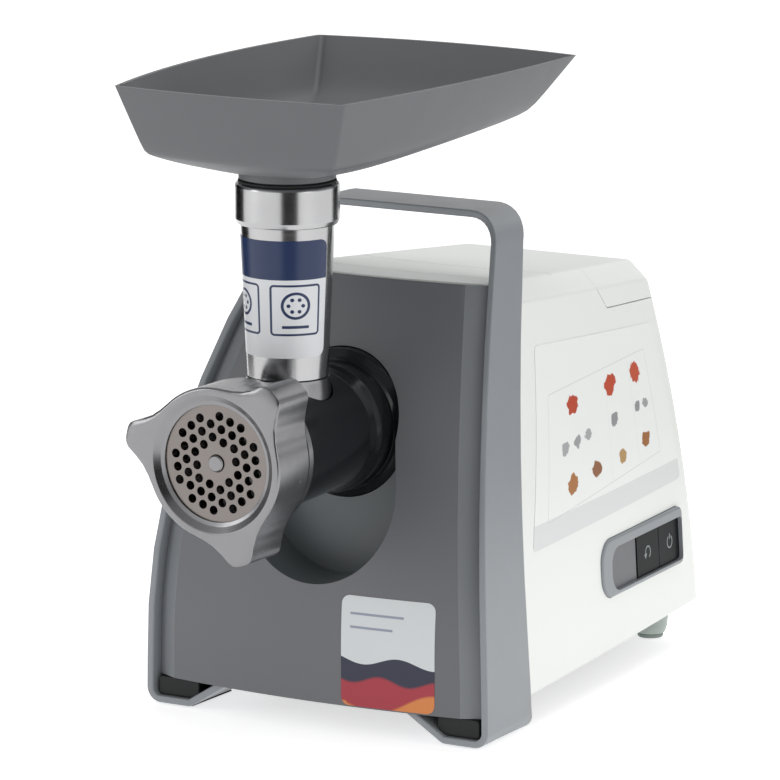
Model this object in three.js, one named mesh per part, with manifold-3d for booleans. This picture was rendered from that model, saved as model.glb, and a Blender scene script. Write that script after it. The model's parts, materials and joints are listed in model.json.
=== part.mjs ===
// Electric meat grinder: a motor base with a carrying-handle frame, and a grinding head with its
// feed tube and filling tray. Millimetres, +Z up, the grinding head points to -Y.
// Lengths along Y are first counted from the front edge of the front feet; the last line of the
// file shifts everything so that the origin is under the middle of the object.
import * as THREE from "three";
import { mergeVertices } from "three/addons/utils/BufferGeometryUtils.js";
import Module from "manifold-3d";

const wasm = await Module();
wasm.setup();

// ---------------------------------------------------------------- driving dimensions
const GAP = 0.3; // between pieces that touch
const AXIS_Z = 154; // height of the drive axis
const TUBE_Y = -24.4; // the feed tube's vertical axis

const BASE_HALF_WIDTH = 101.3; // frame at its widest, near the floor
const SIDE_CURVE = 0.00073; // how fast the sides close in with height
const SIDE_CURVE_FROM = 20;
const LEAN_CURVE = 0.00182; // how fast the front leans back with height
const LEAN_FROM = 45;
const SIDE_TAPER = Math.tan(THREE.MathUtils.degToRad(4.6)); // sides converge towards the rear

const BAND_THICKNESS = 3.8;
const BAND_DEPTH_LOW = 53;
const BAND_DEPTH_SLOPE = 0.088;
const HANDLE_TOP = 259;
const HANDLE_CORNER = 23;
const FOOT_CORNER = 8;
const PAD_HEIGHT = 0.9;

const HOUSING_INSET = 1.5; // white wall, inside the frame's outer face
const WALL = 2.6;
const UNDERSIDE_Z = 16.5;
const UNDERSIDE_SLOPE = 0.025;
const TOP_Z = 229.6; // the top surface, carried on to y = 0
const TOP_SLOPE = 0.078;
const TOP_CHAMFER = 10;
const REAR_Y = 277; // rear wall at its foot
const REAR_LEAN = 0.143;

const PANEL_THICKNESS = 3;
const PANEL_SIDE_GAP = 0.8;
const PANEL_BULGE = 9;
const PANEL_SETBACK = 3;
const PANEL_BEVEL = 4.5; // width of the bevel down each side of the panel
const RECESS_FLOOR_Y = 27;
const RECESS_RADIUS = 44;
const RECESS_CENTRE_Z = 120;

const RELEASE_CENTRE = [-33, 193]; // release button, above the socket's left side
const NUT_FRONT = -96;
const GLAND_END = 279.5;
const LEVELS = [10, 40, 70, 100, 130, 160, 190, 235]; // heights at which the skins are drawn

// storage lid and its hinge
const LID_FRONT = 178;
const HINGE_Z = 189.6;
const HINGE_RADIUS = 3.2;
const PIN_RADIUS = 1.5;
const PIN_BORE = 1.62;
const HINGE_LID_SPAN = [-14, 14];
const HINGE_BASE_SPANS = [[-26, -14.5], [14.5, 26]];
const BIN_REAR = 246;

// control panel on the right side: its middle, size, rim width, and a button's width and travel
const CONTROL = { y: 200, z: 63.3, length: 109, height: 31, rim: 5.5, button: 28.5, travel: 1.5 };

// underside and rear
const GLAND = { centre: [-42, 46], radius: 8.5, wallHole: 7.3, bore: 3.6 };
const VENTS = { count: 6, first: 120, pitch: 12, width: 5, half: 30 };
const SCREWS = [[-70, 75], [70, 75], [-62, 235], [62, 235]];
const REAR_FOOT = { x: 52, y: 258, low: 7.5, high: 12.5 };

// socket, release button and grinding head
const SOCKET = { inner: 31.4, outer: 34.6, front: 23.4, back: 33 };
const RELEASE = { radius: 8, front: 27.5, back: 41 };
const HEAD = { barrel: 24.6, liner: 27.6, thread: 34.6, flange: 38, seat: 23.6, tubeLow: 187 };
const SLEEVE = { front: -58, radius: 33, waist: 31, collar: 33.6 };
const TUBE = { low: 20.3, high: 23.6, wall: 1.3, top: 284 };
const COLLAR = { radius: 26.3, low: 264.5, high: 285 };
const SPOUT = { radius: 21.6, low: 268, bore: 19.6, neck: 24.4 };
const TRAY = {
  rim: 335, front: -80, rear: 133, frontHalf: 66, rearHalf: 77.5, wall: 2.4, floor: 291, middle: 25 };
const TRAY_BOWS = [5, 6, 9, 11]; // how far the front, right, rear and left edges bow out
const WORM = { front: -81.8, rear: 5, radius: 23.7, core: 12.5, turns: 3.2, square: 9 };
const NUT = { radius: 38.5, lug: 52, back: -66.8, bore: 34.95, lip: 28.6, lipBack: -92.3, turn: 48 };

// the disc's perforation
const DISC_RADIUS = 31;
const DISC_THICKNESS = 4.5;
const DISC_FRONT = -92;
const HOLE_PITCH = 6.6;
const HOLE_RADIUS = 2.25;
const LATTICE_TURN = THREE.MathUtils.degToRad(-80.5);

// gear train: teeth and modules from the output back to the motor
const PRESSURE_ANGLE = THREE.MathUtils.degToRad(25);
const BACKLASH = 0.25;
const OUTPUT_TEETH = 42;
const SECOND_TEETH = 44;
const FIRST_TEETH = 44;
const PINION_TEETH = 12;
const OUTPUT_MODULE = 1.75;
const SECOND_MODULE = 1.25;
const FIRST_MODULE = 0.9;
const OUTPUT_CENTRE = new THREE.Vector2(0, AXIS_Z);
const SECOND_CENTRE = new THREE.Vector2(28, AXIS_Z - 38.06);
const FIRST_CENTRE = new THREE.Vector2(0, SECOND_CENTRE.y - 21);
const MOTOR_CENTRE = new THREE.Vector2(0, FIRST_CENTRE.y - 25.2);
const GEARBOX_FRONT = 40;
const GEARBOX_REAR = 88;
const PIN_R = 3;
const PIN_HOLE = 3.14;
const MOTOR = { shaft: 3.5, stator: 36, bore: 23.5, armature: 22.6, from: 106, to: 156, rear: 190 };

// ---------------------------------------------------------------- the body's shape as formulas
const halfWidth = (z) => BASE_HALF_WIDTH - SIDE_CURVE * Math.max(z - SIDE_CURVE_FROM, 0) ** 2;
const frontEdge = (z) => LEAN_CURVE * Math.max(z - LEAN_FROM, 0) ** 2;
const bandDepth = (z) => BAND_DEPTH_LOW - BAND_DEPTH_SLOPE * (z - SIDE_CURVE_FROM);
const rearWall = (z) => REAR_Y - REAR_LEAN * (z - UNDERSIDE_Z);
const topSurface = (y) => TOP_Z - TOP_SLOPE * y;
const underside = (y) => UNDERSIDE_Z + UNDERSIDE_SLOPE * y;
const sideWall = (y, z) => halfWidth(z) - HOUSING_INSET - (y - frontEdge(z)) * SIDE_TAPER;
const HINGE_Y = rearWall(HINGE_Z) + 2.4;

// ---------------------------------------------------------------- solids
// A closed three.js geometry as a manifold-3d solid, turned right side out.
function solid(geometry) {
  const bare = new THREE.BufferGeometry();
  bare.setAttribute("position", geometry.getAttribute("position"));
  bare.setIndex(geometry.index);
  const merged = mergeVertices(bare, 1e-4);
  const corners = merged.index ? Array.from(merged.index.array) : [];
  const faces = [];
  for (let i = 0; i < corners.length; i += 3) {
    const [a, b, c] = corners.slice(i, i + 3);
    if (a !== b && b !== c && c !== a) faces.push(a, b, c);
  }
  const vertProperties = Float32Array.from(merged.attributes.position.array);
  const made = new wasm.Manifold(
    new wasm.Mesh({ numProp: 3, vertProperties, triVerts: Uint32Array.from(faces) }));
  if (made.volume() >= 0) return made;
  faces.reverse();
  return new wasm.Manifold(
    new wasm.Mesh({ numProp: 3, vertProperties, triVerts: Uint32Array.from(faces) }));
}

const AXES = {
  x: new THREE.Matrix4().set(0, 0, 1, 0, 1, 0, 0, 0, 0, 1, 0, 0, 0, 0, 0, 1), // outline (y, z)
  y: new THREE.Matrix4().set(1, 0, 0, 0, 0, 0, 1, 0, 0, 1, 0, 0, 0, 0, 0, 1), // outline (x, z)
  z: new THREE.Matrix4(), // outline (x, y)
};

function shapeOf(outline) {
  if (outline instanceof THREE.Shape) return outline;
  return new THREE.Shape(outline.map(([u, v]) => new THREE.Vector2(u, v)));
}

// A flat outline drawn across one axis and extruded along it.
function prism(axis, outline, from, to, curveSegments = 12) {
  const geometry = new THREE.ExtrudeGeometry(shapeOf(outline), {
    depth: to - from, bevelEnabled: false, curveSegments });
  geometry.translate(0, 0, from);
  geometry.applyMatrix4(AXES[axis]);
  return solid(geometry);
}

function box(low, high) {
  const size = high.map((value, i) => value - low[i]);
  const geometry = new THREE.BoxGeometry(...size);
  geometry.translate(...high.map((value, i) => (value + low[i]) / 2));
  return solid(geometry);
}

// A profile of [radius, place] points turned about a line along Y or Z.
function turned(axis, profile, segments = 32, centre = [0, 0]) {
  const points = profile.map(([r, h]) => new THREE.Vector2(r, h));
  if (profile[0][0] > 0) points.push(points[0].clone());
  const geometry = new THREE.LatheGeometry(points, segments);
  if (axis === "z") geometry.rotateX(Math.PI / 2).translate(centre[0], centre[1], 0);
  if (axis === "y") geometry.translate(centre[0], 0, centre[1]);
  return solid(geometry);
}

const disc = (axis, radius, from, to, segments = 32, centre = [0, 0]) =>
  turned(axis, [[0, from], [radius, from], [radius, to], [0, to]], segments, centre);

const ringOf = (axis, inner, outer, from, to, segments = 32, centre = [0, 0]) =>
  turned(axis, [[inner, from], [outer, from], [outer, to], [inner, to]], segments, centre);

// A skin through rings of points. Open lofts get flat ends; closed ones join last to first.
function loft(rings, closed = false) {
  const count = rings[0].length;
  const points = rings.flat();
  const faces = [];
  const spans = closed ? rings.length : rings.length - 1;
  for (let i = 0; i < spans; i++) {
    for (let k = 0; k < count; k++) {
      const a = i * count + k;
      const b = i * count + ((k + 1) % count);
      const c = ((i + 1) % rings.length) * count + k;
      const d = ((i + 1) % rings.length) * count + ((k + 1) % count);
      faces.push(a, b, d, a, d, c);
    }
  }
  if (!closed) {
    for (const [ring, flip] of [[0, true], [rings.length - 1, false]]) {
      const middle = points.length;
      points.push(rings[ring].reduce((sum, p) => sum.map((s, i) => s + p[i] / count), [0, 0, 0]));
      for (let k = 0; k < count; k++) {
        const a = ring * count + k;
        const b = ring * count + ((k + 1) % count);
        faces.push(...(flip ? [middle, b, a] : [middle, a, b]));
      }
    }
  }
  const geometry = new THREE.BufferGeometry();
  geometry.setAttribute("position", new THREE.Float32BufferAttribute(points.flat(), 3));
  geometry.setIndex(faces);
  return solid(geometry);
}

// A cut piece without the slivers that a cut can leave.
function whole(made) {
  const bodies = made.decompose().sort((a, b) => b.volume() - a.volume());
  return bodies[0];
}

// ---------------------------------------------------------------- the scene
const grinder = new THREE.Group();
const MATERIALS = {
  panel_grey: [0x6a6b6f, 0.42, 0],
  frame_grey: [0x8c9194, 0.4, 0],
  tray_grey: [0x75797c, 0.5, 0],
  white_plastic: [0xe8eae8, 0.3, 0],
  black_gloss: [0x1d1f22, 0.18, 0],
  dark_plastic: [0x2b2d2f, 0.5, 0],
  pale_plastic: [0xcfd6d2, 0.4, 0],
  gear_plastic: [0xe2ddc8, 0.45, 0],
  cast_aluminium: [0xb9bbbd, 0.35, 0.9],
  polished_steel: [0xd4d4d6, 0.12, 1],
  disc_steel: [0xb9b4b1, 0.3, 1],
  tool_steel: [0x9a9c9f, 0.35, 1],
  rubber: [0x1c1c1d, 0.85, 0],
  copper: [0xb5703c, 0.4, 0.9],
  laminations: [0x6f7072, 0.5, 0.8],
  carbon: [0x2a2a2b, 0.7, 0],
  circuit_board: [0x1f5a38, 0.5, 0],
};
const finishes = Object.fromEntries(
  Object.entries(MATERIALS).map(([name, [color, roughness, metalness]]) =>
    [name, new THREE.MeshStandardMaterial({ name, color, roughness, metalness })]));

function piece(name, made, finish) {
  const mesh = made.getMesh();
  const geometry = new THREE.BufferGeometry();
  const positions = [];
  for (let i = 0; i < mesh.numVert; i++) {
    positions.push(...mesh.vertProperties.subarray(i * mesh.numProp, i * mesh.numProp + 3));
  }
  geometry.setAttribute("position", new THREE.Float32BufferAttribute(positions, 3));
  geometry.setIndex(Array.from(mesh.triVerts));
  geometry.computeVertexNormals();
  const node = new THREE.Mesh(geometry, finishes[finish]);
  node.name = name;
  grinder.add(node);
}

// ---------------------------------------------------------------- handle frame
// One band of constant thickness makes the feet, the sides and the carrying handle. Its middle
// line is walked from the left foot's inner end, over the handle, to the right foot's inner end.
function roundedCorner(before, corner, after, radius, steps) {
  const a = before.clone().sub(corner).normalize();
  const b = after.clone().sub(corner).normalize();
  const half = Math.acos(THREE.MathUtils.clamp(a.dot(b), -1, 1)) / 2;
  const centre = corner.clone().add(a.clone().add(b).normalize().multiplyScalar(radius / Math.sin(half)));
  const start = corner.clone().add(a.multiplyScalar(radius / Math.tan(half))).sub(centre);
  const end = corner.clone().add(b.multiplyScalar(radius / Math.tan(half))).sub(centre);
  const turn = Math.atan2(start.x * end.y - start.y * end.x, start.dot(end));
  return Array.from({ length: steps + 1 }, (_, i) =>
    start.clone().rotateAround(new THREE.Vector2(), (turn * i) / steps).add(centre));
}

function bandOutline() {
  const v = (x, z) => new THREE.Vector2(x, z);
  const floor = PAD_HEIGHT + GAP;
  const topHalf = halfWidth(HANDLE_TOP) + 1;
  const right = [v(53, UNDERSIDE_Z - 1.5)];
  right.push(...roundedCorner(right[0], v(75, floor), v(95, floor), 6, 3));
  const footSide = v(halfWidth(0), 40);
  right.push(...roundedCorner(right.at(-1), v(halfWidth(0) + 0.3, floor), footSide, FOOT_CORNER, 5));
  for (let z = 24; z < HANDLE_TOP - 32; z += 29) right.push(v(halfWidth(z), z));
  const shoulder = v(topHalf, HANDLE_TOP);
  right.push(...roundedCorner(right.at(-1), shoulder, v(0, HANDLE_TOP), HANDLE_CORNER, 8));
  right.push(v(topHalf / 3, HANDLE_TOP));
  const left = right.map((p) => v(-p.x, p.y)).reverse();
  return [...right, ...left];
}

function bandSolid(thickness, depthExtra, outward) {
  const outline = bandOutline();
  const rings = outline.map((p, i) => {
    const before = outline[Math.max(i - 1, 0)];
    const after = outline[Math.min(i + 1, outline.length - 1)];
    const along = after.clone().sub(before).normalize();
    const inward = new THREE.Vector2(-along.y, along.x);
    const here = p.clone().add(inward.clone().multiplyScalar(-outward));
    const low = Math.min(p.y, HANDLE_TOP);
    const front = frontEdge(low) - depthExtra;
    const back = frontEdge(low) + bandDepth(low) + depthExtra;
    const closing = Math.abs(inward.x) * SIDE_TAPER;
    const at = (y, offset) => {
      const shift = offset + closing * (y - frontEdge(low));
      return [here.x + inward.x * shift, y, here.y + inward.y * shift];
    };
    return [at(front, 0), at(back, 0), at(back, thickness), at(front, thickness)];
  });
  return loft(rings);
}

// ---------------------------------------------------------------- front panel
// The panel across one level: bowed forward in the middle, with a bevel down each side.
function panelRing(z, inset, back, steps = 8) {
  const half = halfWidth(z) - BAND_THICKNESS - PANEL_SIDE_GAP - inset;
  const flat = half - PANEL_BEVEL;
  const edge = frontEdge(z) + PANEL_SETBACK + inset;
  const side = edge + PANEL_BEVEL * 0.7;
  const ring = [[-half, side, z]];
  for (let i = 0; i <= steps; i++) {
    const x = flat * (-1 + (2 * i) / steps);
    ring.push([x, edge - PANEL_BULGE * (1 - (x / half) ** 2), z]);
  }
  ring.push([half, side, z], [half - SIDE_TAPER * 10, back, z], [-half + SIDE_TAPER * 10, back, z]);
  return ring;
}

function slabBetween(lowAt, highAt) {
  const [a, b] = [-60, 400];
  return prism("x", [[a, lowAt(a)], [b, lowAt(b)], [b, highAt(b)], [a, highAt(a)]], -150, 150);
}

function recessShape(radius) {
  const shape = new THREE.Shape();
  shape.absarc(0, RECESS_CENTRE_Z, radius, Math.PI, 2 * Math.PI, false);
  shape.lineTo(radius - 8, 205);
  shape.lineTo(-radius + 8, 205);
  return shape;
}

function frontPanel() {
  const backOf = (z) => frontEdge(z) + 9;
  const outside = loft(LEVELS.map((z) => panelRing(z, 0, backOf(z))));
  const inside = loft(LEVELS.map((z) => panelRing(z, PANEL_THICKNESS, backOf(z) + 20)));
  const frontSpace = loft(LEVELS.map((z) => panelRing(z, 0, 120)));
  const outer = outside.intersect(slabBetween(() => UNDERSIDE_Z - 1.5 + GAP, (y) => topSurface(y)));
  const inner = inside.intersect(
    slabBetween(() => UNDERSIDE_Z - 1.5 + PANEL_THICKNESS, (y) => topSurface(y) - PANEL_THICKNESS));
  const wallShape = recessShape(RECESS_RADIUS + PANEL_THICKNESS);
  const recessWall = prism("y", wallShape, -20, RECESS_FLOOR_Y + PANEL_THICKNESS);
  const recess = prism("y", recessShape(RECESS_RADIUS), -30, RECESS_FLOOR_Y);
  const socketHole = disc("y", SOCKET.outer + GAP, 0, 60, 28, [0, AXIS_Z]);
  const buttonHole = disc("y", RELEASE.radius + GAP + 0.1, 0, 60, 24, RELEASE_CENTRE);
  return outer.subtract(inner).add(recessWall.intersect(frontSpace))
    .subtract(recess).subtract(socketHole).subtract(buttonHole);
}

// ---------------------------------------------------------------- white housing and its lid
// The body's outer skin, pulled in by an inset, between the two frame sides and the rear wall.
function bodyLoft(inset) {
  const steps = 4;
  const rings = LEVELS.map((z) => {
    const front = frontEdge(z) + PANEL_SETBACK + 2;
    const rear = rearWall(z) - inset;
    const ring = [];
    for (let i = 0; i <= steps; i++) {
      const share = i / steps;
      const y = front + (rear - 9 - front) * share;
      ring.push([sideWall(y, z) + 6 * share * (1 - share) - inset, y, z]);
    }
    const corner = ring.at(-1)[0];
    ring.push([corner - 3.4, rear - 3, z], [corner - 10, rear, z]);
    return [...ring, ...ring.map(([x, y]) => [-x, y, z]).reverse()];
  });
  return loft(rings);
}

// Everything below the top surface and its chamfers, with the skin pulled in by an inset.
function underTop(inset) {
  const slab = slabBetween((y) => underside(y) + inset - 60, (y) => topSurface(y) - inset);
  const cut = [];
  for (const side of [-1, 1]) {
    const shift = inset * (Math.SQRT2 - 1);
    const at = (y, dx, dz) => [side * (sideWall(y, topSurface(y)) - TOP_CHAMFER + dx - shift), y,
      topSurface(y) + dz - shift];
    const ring = (y) => [at(y, -2, 2), at(y, 30, 2), at(y, 30, -30)];
    cut.push(loft([ring(20), ring(320)]));
  }
  const rearTop = rearWall(200) - inset;
  const rearCorner = [[rearTop - 14, 216 - inset], [rearTop + 12, 188 - inset], [rearTop + 40, 216]];
  const rearCut = prism("x", rearCorner, -150, 150);
  return slab.subtract(cut[0]).subtract(cut[1]).subtract(rearCut);
}

const bodySolid = (inset) => bodyLoft(inset).intersect(underTop(inset));
const LID_EDGE = [[LID_FRONT, 240], [LID_FRONT, 206], [186, 194.7], [300, 187.2], [300, 240]];
const LID_EDGE_WIDER = LID_EDGE.map(([y, z]) => [y === LID_FRONT ? y - GAP : y, z < 200 ? z - 0.4 : z]);


function alongX(radius, from, to, y, z, segments = 16) {
  const circle = new THREE.Path().absarc(y, z, radius, 0, 2 * Math.PI);
  return prism("x", new THREE.Shape(circle.getPoints(segments).slice(0, -1)), from, to);
}

const outerBody = bodySolid(0);
const innerBody = bodySolid(WALL);
const shell = outerBody.subtract(innerBody);
const lidRegion = prism("x", LID_EDGE, -120, 120);
const lidOpening = prism("x", LID_EDGE_WIDER, -120, 120);

// ---------------------------------------------------------------- control panel on the right side
// Its own frame: u runs to the rear along the wall, v up the wall, w out of it.
const controlFrame = (() => {
  const { y, z } = CONTROL;
  const here = new THREE.Vector3(sideWall(y, z) + 1.3, y, z);
  const up = new THREE.Vector3(sideWall(y, z + 10) - sideWall(y, z - 10), 0, 20);
  const u = new THREE.Vector3(sideWall(y + 50, z) - sideWall(y - 50, z), 100, 0).normalize();
  const w = u.clone().cross(up).normalize();
  return new THREE.Matrix4().makeBasis(u, w.clone().cross(u), w).setPosition(here);
})();

function controlSolid(shape, from, to) {
  const options = { depth: to - from, bevelEnabled: false, curveSegments: 6 };
  const geometry = new THREE.ExtrudeGeometry(shape, options);
  geometry.translate(0, 0, from);
  geometry.applyMatrix4(controlFrame);
  return solid(geometry);
}

// A bar with a round front end and small corners at its rear end.
function barShape(front, rear, half, corner) {
  const shape = new THREE.Shape();
  const nose = half * 0.8;
  shape.moveTo(rear - corner, -half);
  shape.absarc(rear - corner, -half + corner, corner, -Math.PI / 2, 0, false);
  shape.absarc(rear - corner, half - corner, corner, 0, Math.PI / 2, false);
  shape.absarc(front + nose, half - nose, nose, Math.PI / 2, Math.PI, false);
  shape.absarc(front + nose, -half + nose, nose, Math.PI, 1.5 * Math.PI, false);
  return shape;
}

const BEZEL_FRONT = -CONTROL.length / 2;
const BEZEL_REAR = CONTROL.length / 2;
const WINDOW_HALF = CONTROL.height / 2 - CONTROL.rim + 1;
const BUTTONS_REAR = BEZEL_REAR - 3.2;
const POWER_FRONT = BUTTONS_REAR - GAP - CONTROL.button;
const REVERSE_FRONT = POWER_FRONT - GAP - CONTROL.button;
const BUTTONS_FRONT = REVERSE_FRONT - GAP;

const flatBar = (front, rear, half) => shapeOf([[front, -half], [rear, -half], [rear, half], [front, half]]);

function controlBezel() {
  const rim = controlSolid(barShape(BEZEL_FRONT, BEZEL_REAR, CONTROL.height / 2, 4), -4.5, 1.5);
  const recess = controlSolid(barShape(BEZEL_FRONT + CONTROL.rim + 2, BUTTONS_REAR, WINDOW_HALF, 2.5), -1.2, 4);
  const window = controlSolid(flatBar(BUTTONS_FRONT, BUTTONS_REAR, WINDOW_HALF), -8, 4);
  return rim.subtract(recess).subtract(window);
}

function sideButton(front) {
  return controlSolid(flatBar(front, front + CONTROL.button, WINDOW_HALF - GAP), -7, -0.6);
}

function mainHousing() {
  const frontCut = loft(LEVELS.map((z) => panelRing(z, -8, frontEdge(z) + 9 + GAP)));
  const bottomCut = slabBetween((y) => underside(y) - 60, underside);
  const innerOpen = bodyLoft(WALL).intersect(slabBetween((y) => underside(y) - 80, (y) => underside(y) + 20));
  const bezelEdge = barShape(BEZEL_FRONT - GAP, BEZEL_REAR + GAP, CONTROL.height / 2 + GAP, 4 + GAP);
  const [lidFrom, lidTo] = HINGE_LID_SPAN;
  let housing = shell.subtract(frontCut).subtract(bandSolid(BAND_THICKNESS + 3 + 3 * GAP, GAP, 3));
  housing = housing.subtract(lidOpening).subtract(bottomCut).subtract(innerOpen);
  housing = housing.subtract(controlSolid(bezelEdge, -12, 12));
  for (const [from, to] of HINGE_BASE_SPANS) {
    housing = housing.add(alongX(HINGE_RADIUS, from, to, HINGE_Y, HINGE_Z));
  }
  housing = housing.subtract(alongX(HINGE_RADIUS + GAP, lidFrom - 0.2, lidTo + 0.2, HINGE_Y, HINGE_Z));
  housing = housing.subtract(alongX(PIN_BORE, -40, 40, HINGE_Y, HINGE_Z));
  return housing.subtract(disc("y", GLAND.wallHole, 230, 300, 20, GLAND.centre));
}

function storageLid() {
  let lid = shell.intersect(lidRegion);
  lid = lid.add(alongX(HINGE_RADIUS, ...HINGE_LID_SPAN, HINGE_Y, HINGE_Z)
    .add(box([HINGE_LID_SPAN[0], HINGE_Y - 4, HINGE_Z + 0.9], [HINGE_LID_SPAN[1], HINGE_Y, HINGE_Z + 3])));
  for (const [from, to] of HINGE_BASE_SPANS) {
    lid = lid.subtract(alongX(HINGE_RADIUS + GAP, from - 0.3, to + 0.3, HINGE_Y, HINGE_Z));
  }
  return lid.subtract(alongX(PIN_BORE, -40, 40, HINGE_Y, HINGE_Z));
}

const bandCut = box([-85, -20, UNDERSIDE_Z - 1.5], [85, 90, 60]);
piece("handle_frame", bandSolid(BAND_THICKNESS, 0, 0).subtract(bandCut), "frame_grey");
piece("front_panel", frontPanel(), "panel_grey");
piece("main_housing", whole(mainHousing()), "white_plastic");
piece("storage_lid", whole(storageLid()), "white_plastic");
piece("lid_hinge_pin", alongX(PIN_RADIUS, -26, 26, HINGE_Y, HINGE_Z), "tool_steel");
piece("control_bezel", controlBezel(), "frame_grey");
piece("reverse_button", sideButton(REVERSE_FRONT), "black_gloss");
piece("power_button", sideButton(POWER_FRONT), "black_gloss");

// ---------------------------------------------------------------- base plate, feet, storage bin, gland
function basePlate() {
  const slab = slabBetween((y) => underside(y) + 0.4, (y) => underside(y) + 3.4);
  let plate = bodyLoft(WALL + GAP + 0.1).intersect(slab);
  plate = plate.subtract(box([-150, -50, 0], [150, 9.6, 60]));
  for (const side of [-1, 1]) {
    const [near, far] = [side * 86, side * 150].sort((a, b) => a - b);
    plate = plate.subtract(box([near, -50, 0], [far, 58, 60]));
  }
  for (let i = 0; i < VENTS.count; i++) {
    const y = VENTS.first + i * VENTS.pitch;
    plate = plate.subtract(box([-VENTS.half, y, 0], [VENTS.half, y + VENTS.width, 60]));
  }
  for (const [x, y] of SCREWS) plate = plate.subtract(disc("z", 1.8, 0, 60, 12, [x, y]));
  for (const side of [-1, 1]) {
    plate = plate.subtract(disc("z", 4.3, 0, 60, 16, [side * REAR_FOOT.x, REAR_FOOT.y]));
  }
  return plate;
}

function baseScrew([x, y]) {
  const under = underside(y);
  return turned("z", [[0, under - 2.2], [2.2, under - 2.2], [3.6, under - 1], [3.6, under + 0.1],
    [1.5, under + 0.1], [1.5, under + 14], [0, under + 14]], 12, [x, y]);
}

function rearFoot(side) {
  const high = underside(REAR_FOOT.y) + 0.1;
  const profile = [[0, 2.3], [REAR_FOOT.low, 2.3], [REAR_FOOT.high, high - 3], [REAR_FOOT.high, high],
    [4, high], [4, high + 9], [0, high + 9]];
  return turned("z", profile, 20, [side * REAR_FOOT.x, REAR_FOOT.y]);
}

const rearFootPad = (side) => disc("z", REAR_FOOT.low - 0.8, 0, 2, 20, [side * REAR_FOOT.x, REAR_FOOT.y]);
const frontFootPad = (side) =>
  box([side > 0 ? 77 : -91, 6, 0], [side > 0 ? 91 : -77, 44, PAD_HEIGHT]);

function storageBin() {
  const outline = (half, inset) => [[-half, LID_FRONT + 4 + inset], [half, LID_FRONT + 4 + inset],
    [half - 2, BIN_REAR - inset], [-half + 2, BIN_REAR - inset]];
  const outer = prism("z", outline(46, 0), 158, 190);
  return outer.subtract(prism("z", outline(44, 2), 160, 200));
}

function cordGland() {
  const wall = rearWall(GLAND.centre[1] - GLAND.radius);
  return turned("y", [[GLAND.bore, wall - 12], [6.8, wall - 12], [6.8, wall + GAP], [GLAND.radius, wall + GAP],
    [GLAND.radius - 1, wall + 3], [5.2, GLAND_END], [GLAND.bore, GLAND_END]], 24, GLAND.centre);
}

piece("base_plate", whole(basePlate()), "dark_plastic");
SCREWS.forEach((place, i) => piece(`base_screw_${i + 1}`, baseScrew(place), "tool_steel"));
piece("rear_foot_left", rearFoot(-1), "pale_plastic");
piece("rear_foot_right", rearFoot(1), "pale_plastic");
piece("rear_foot_pad_left", rearFootPad(-1), "rubber");
piece("rear_foot_pad_right", rearFootPad(1), "rubber");
piece("front_foot_pad_left", frontFootPad(-1), "rubber");
piece("front_foot_pad_right", frontFootPad(1), "rubber");
piece("storage_bin", storageBin(), "dark_plastic");
piece("cord_gland", cordGland(), "dark_plastic");

// ---------------------------------------------------------------- switches behind the side buttons
function switchBody(front) {
  const u = front + CONTROL.button / 2;
  return controlSolid(flatBar(u - 9, u + 9, 5), -17, -11)
    .add(controlSolid(flatBar(u - 1.5, u + 1.5, 1.5), -12, -7 - CONTROL.travel - GAP));
}

function controlBoard() {
  return controlSolid(flatBar(BUTTONS_FRONT - 8, BUTTONS_REAR + 1, 11), -19, -17 - GAP);
}

piece("reverse_switch", switchBody(REVERSE_FRONT), "dark_plastic");
piece("power_switch", switchBody(POWER_FRONT), "dark_plastic");
piece("control_board", controlBoard(), "circuit_board");

// ---------------------------------------------------------------- socket and release button
function socketRing() {
  const { inner, outer, front, back } = SOCKET;
  const profile = [[inner, front], [outer - 1, front], [outer, front + 1.5], [outer, back], [inner, back]];
  return turned("y", profile, 28, [0, AXIS_Z]);
}

function releaseButton() {
  const { radius, front, back } = RELEASE;
  const profile = [[0, front], [radius - 1, front], [radius, front + 1], [radius, back], [0, back]];
  return turned("y", profile, 24, RELEASE_CENTRE);
}

piece("socket_ring", socketRing(), "black_gloss");
piece("release_button", releaseButton(), "dark_plastic");

// ---------------------------------------------------------------- gears
// Straight flanks join points taken on the involute, so a drawn tooth is a little slimmer than it.
function gearOutline(teeth, module, phase) {
  const pitch = (module * teeth) / 2;
  const base = pitch * Math.cos(PRESSURE_ANGLE);
  const root = pitch - 1.25 * module;
  const tip = pitch + 0.95 * module;
  const involute = (radius) => {
    const angle = Math.acos(Math.min(base / radius, 1));
    return Math.tan(angle) - angle;
  };
  const halfAngle = (radius) => Math.PI / (2 * teeth) - (BACKLASH * module) / (2 * pitch) / 2 +
    involute(pitch) - involute(Math.max(radius, base));
  const levels = [root, tip];
  const outline = [];
  for (let i = 0; i < teeth; i++) {
    const middle = phase + (2 * Math.PI * i) / teeth;
    const flank = levels.map((radius) => [radius, halfAngle(radius)]);
    for (const [radius, half] of flank) outline.push([radius, middle - half]);
    for (const [radius, half] of flank.reverse()) outline.push([radius, middle + half]);
  }
  return outline.map(([radius, angle]) => [radius * Math.cos(angle), radius * Math.sin(angle)]);
}

function gearSolid(centre, teeth, module, phase, from, to) {
  const outline = gearOutline(teeth, module, phase).map(([x, z]) => [x + centre.x, z + centre.y]);
  return prism("y", outline, from, to);
}

// The phase that lets a gear mesh with its driver across the line of centres.
function meshPhase(driver, driven, driverTeeth, drivenTeeth, driverPhase) {
  const line = driven.clone().sub(driver).angle();
  return line + Math.PI + ((line - driverPhase) * driverTeeth) / drivenTeeth + Math.PI / drivenTeeth;
}

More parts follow.
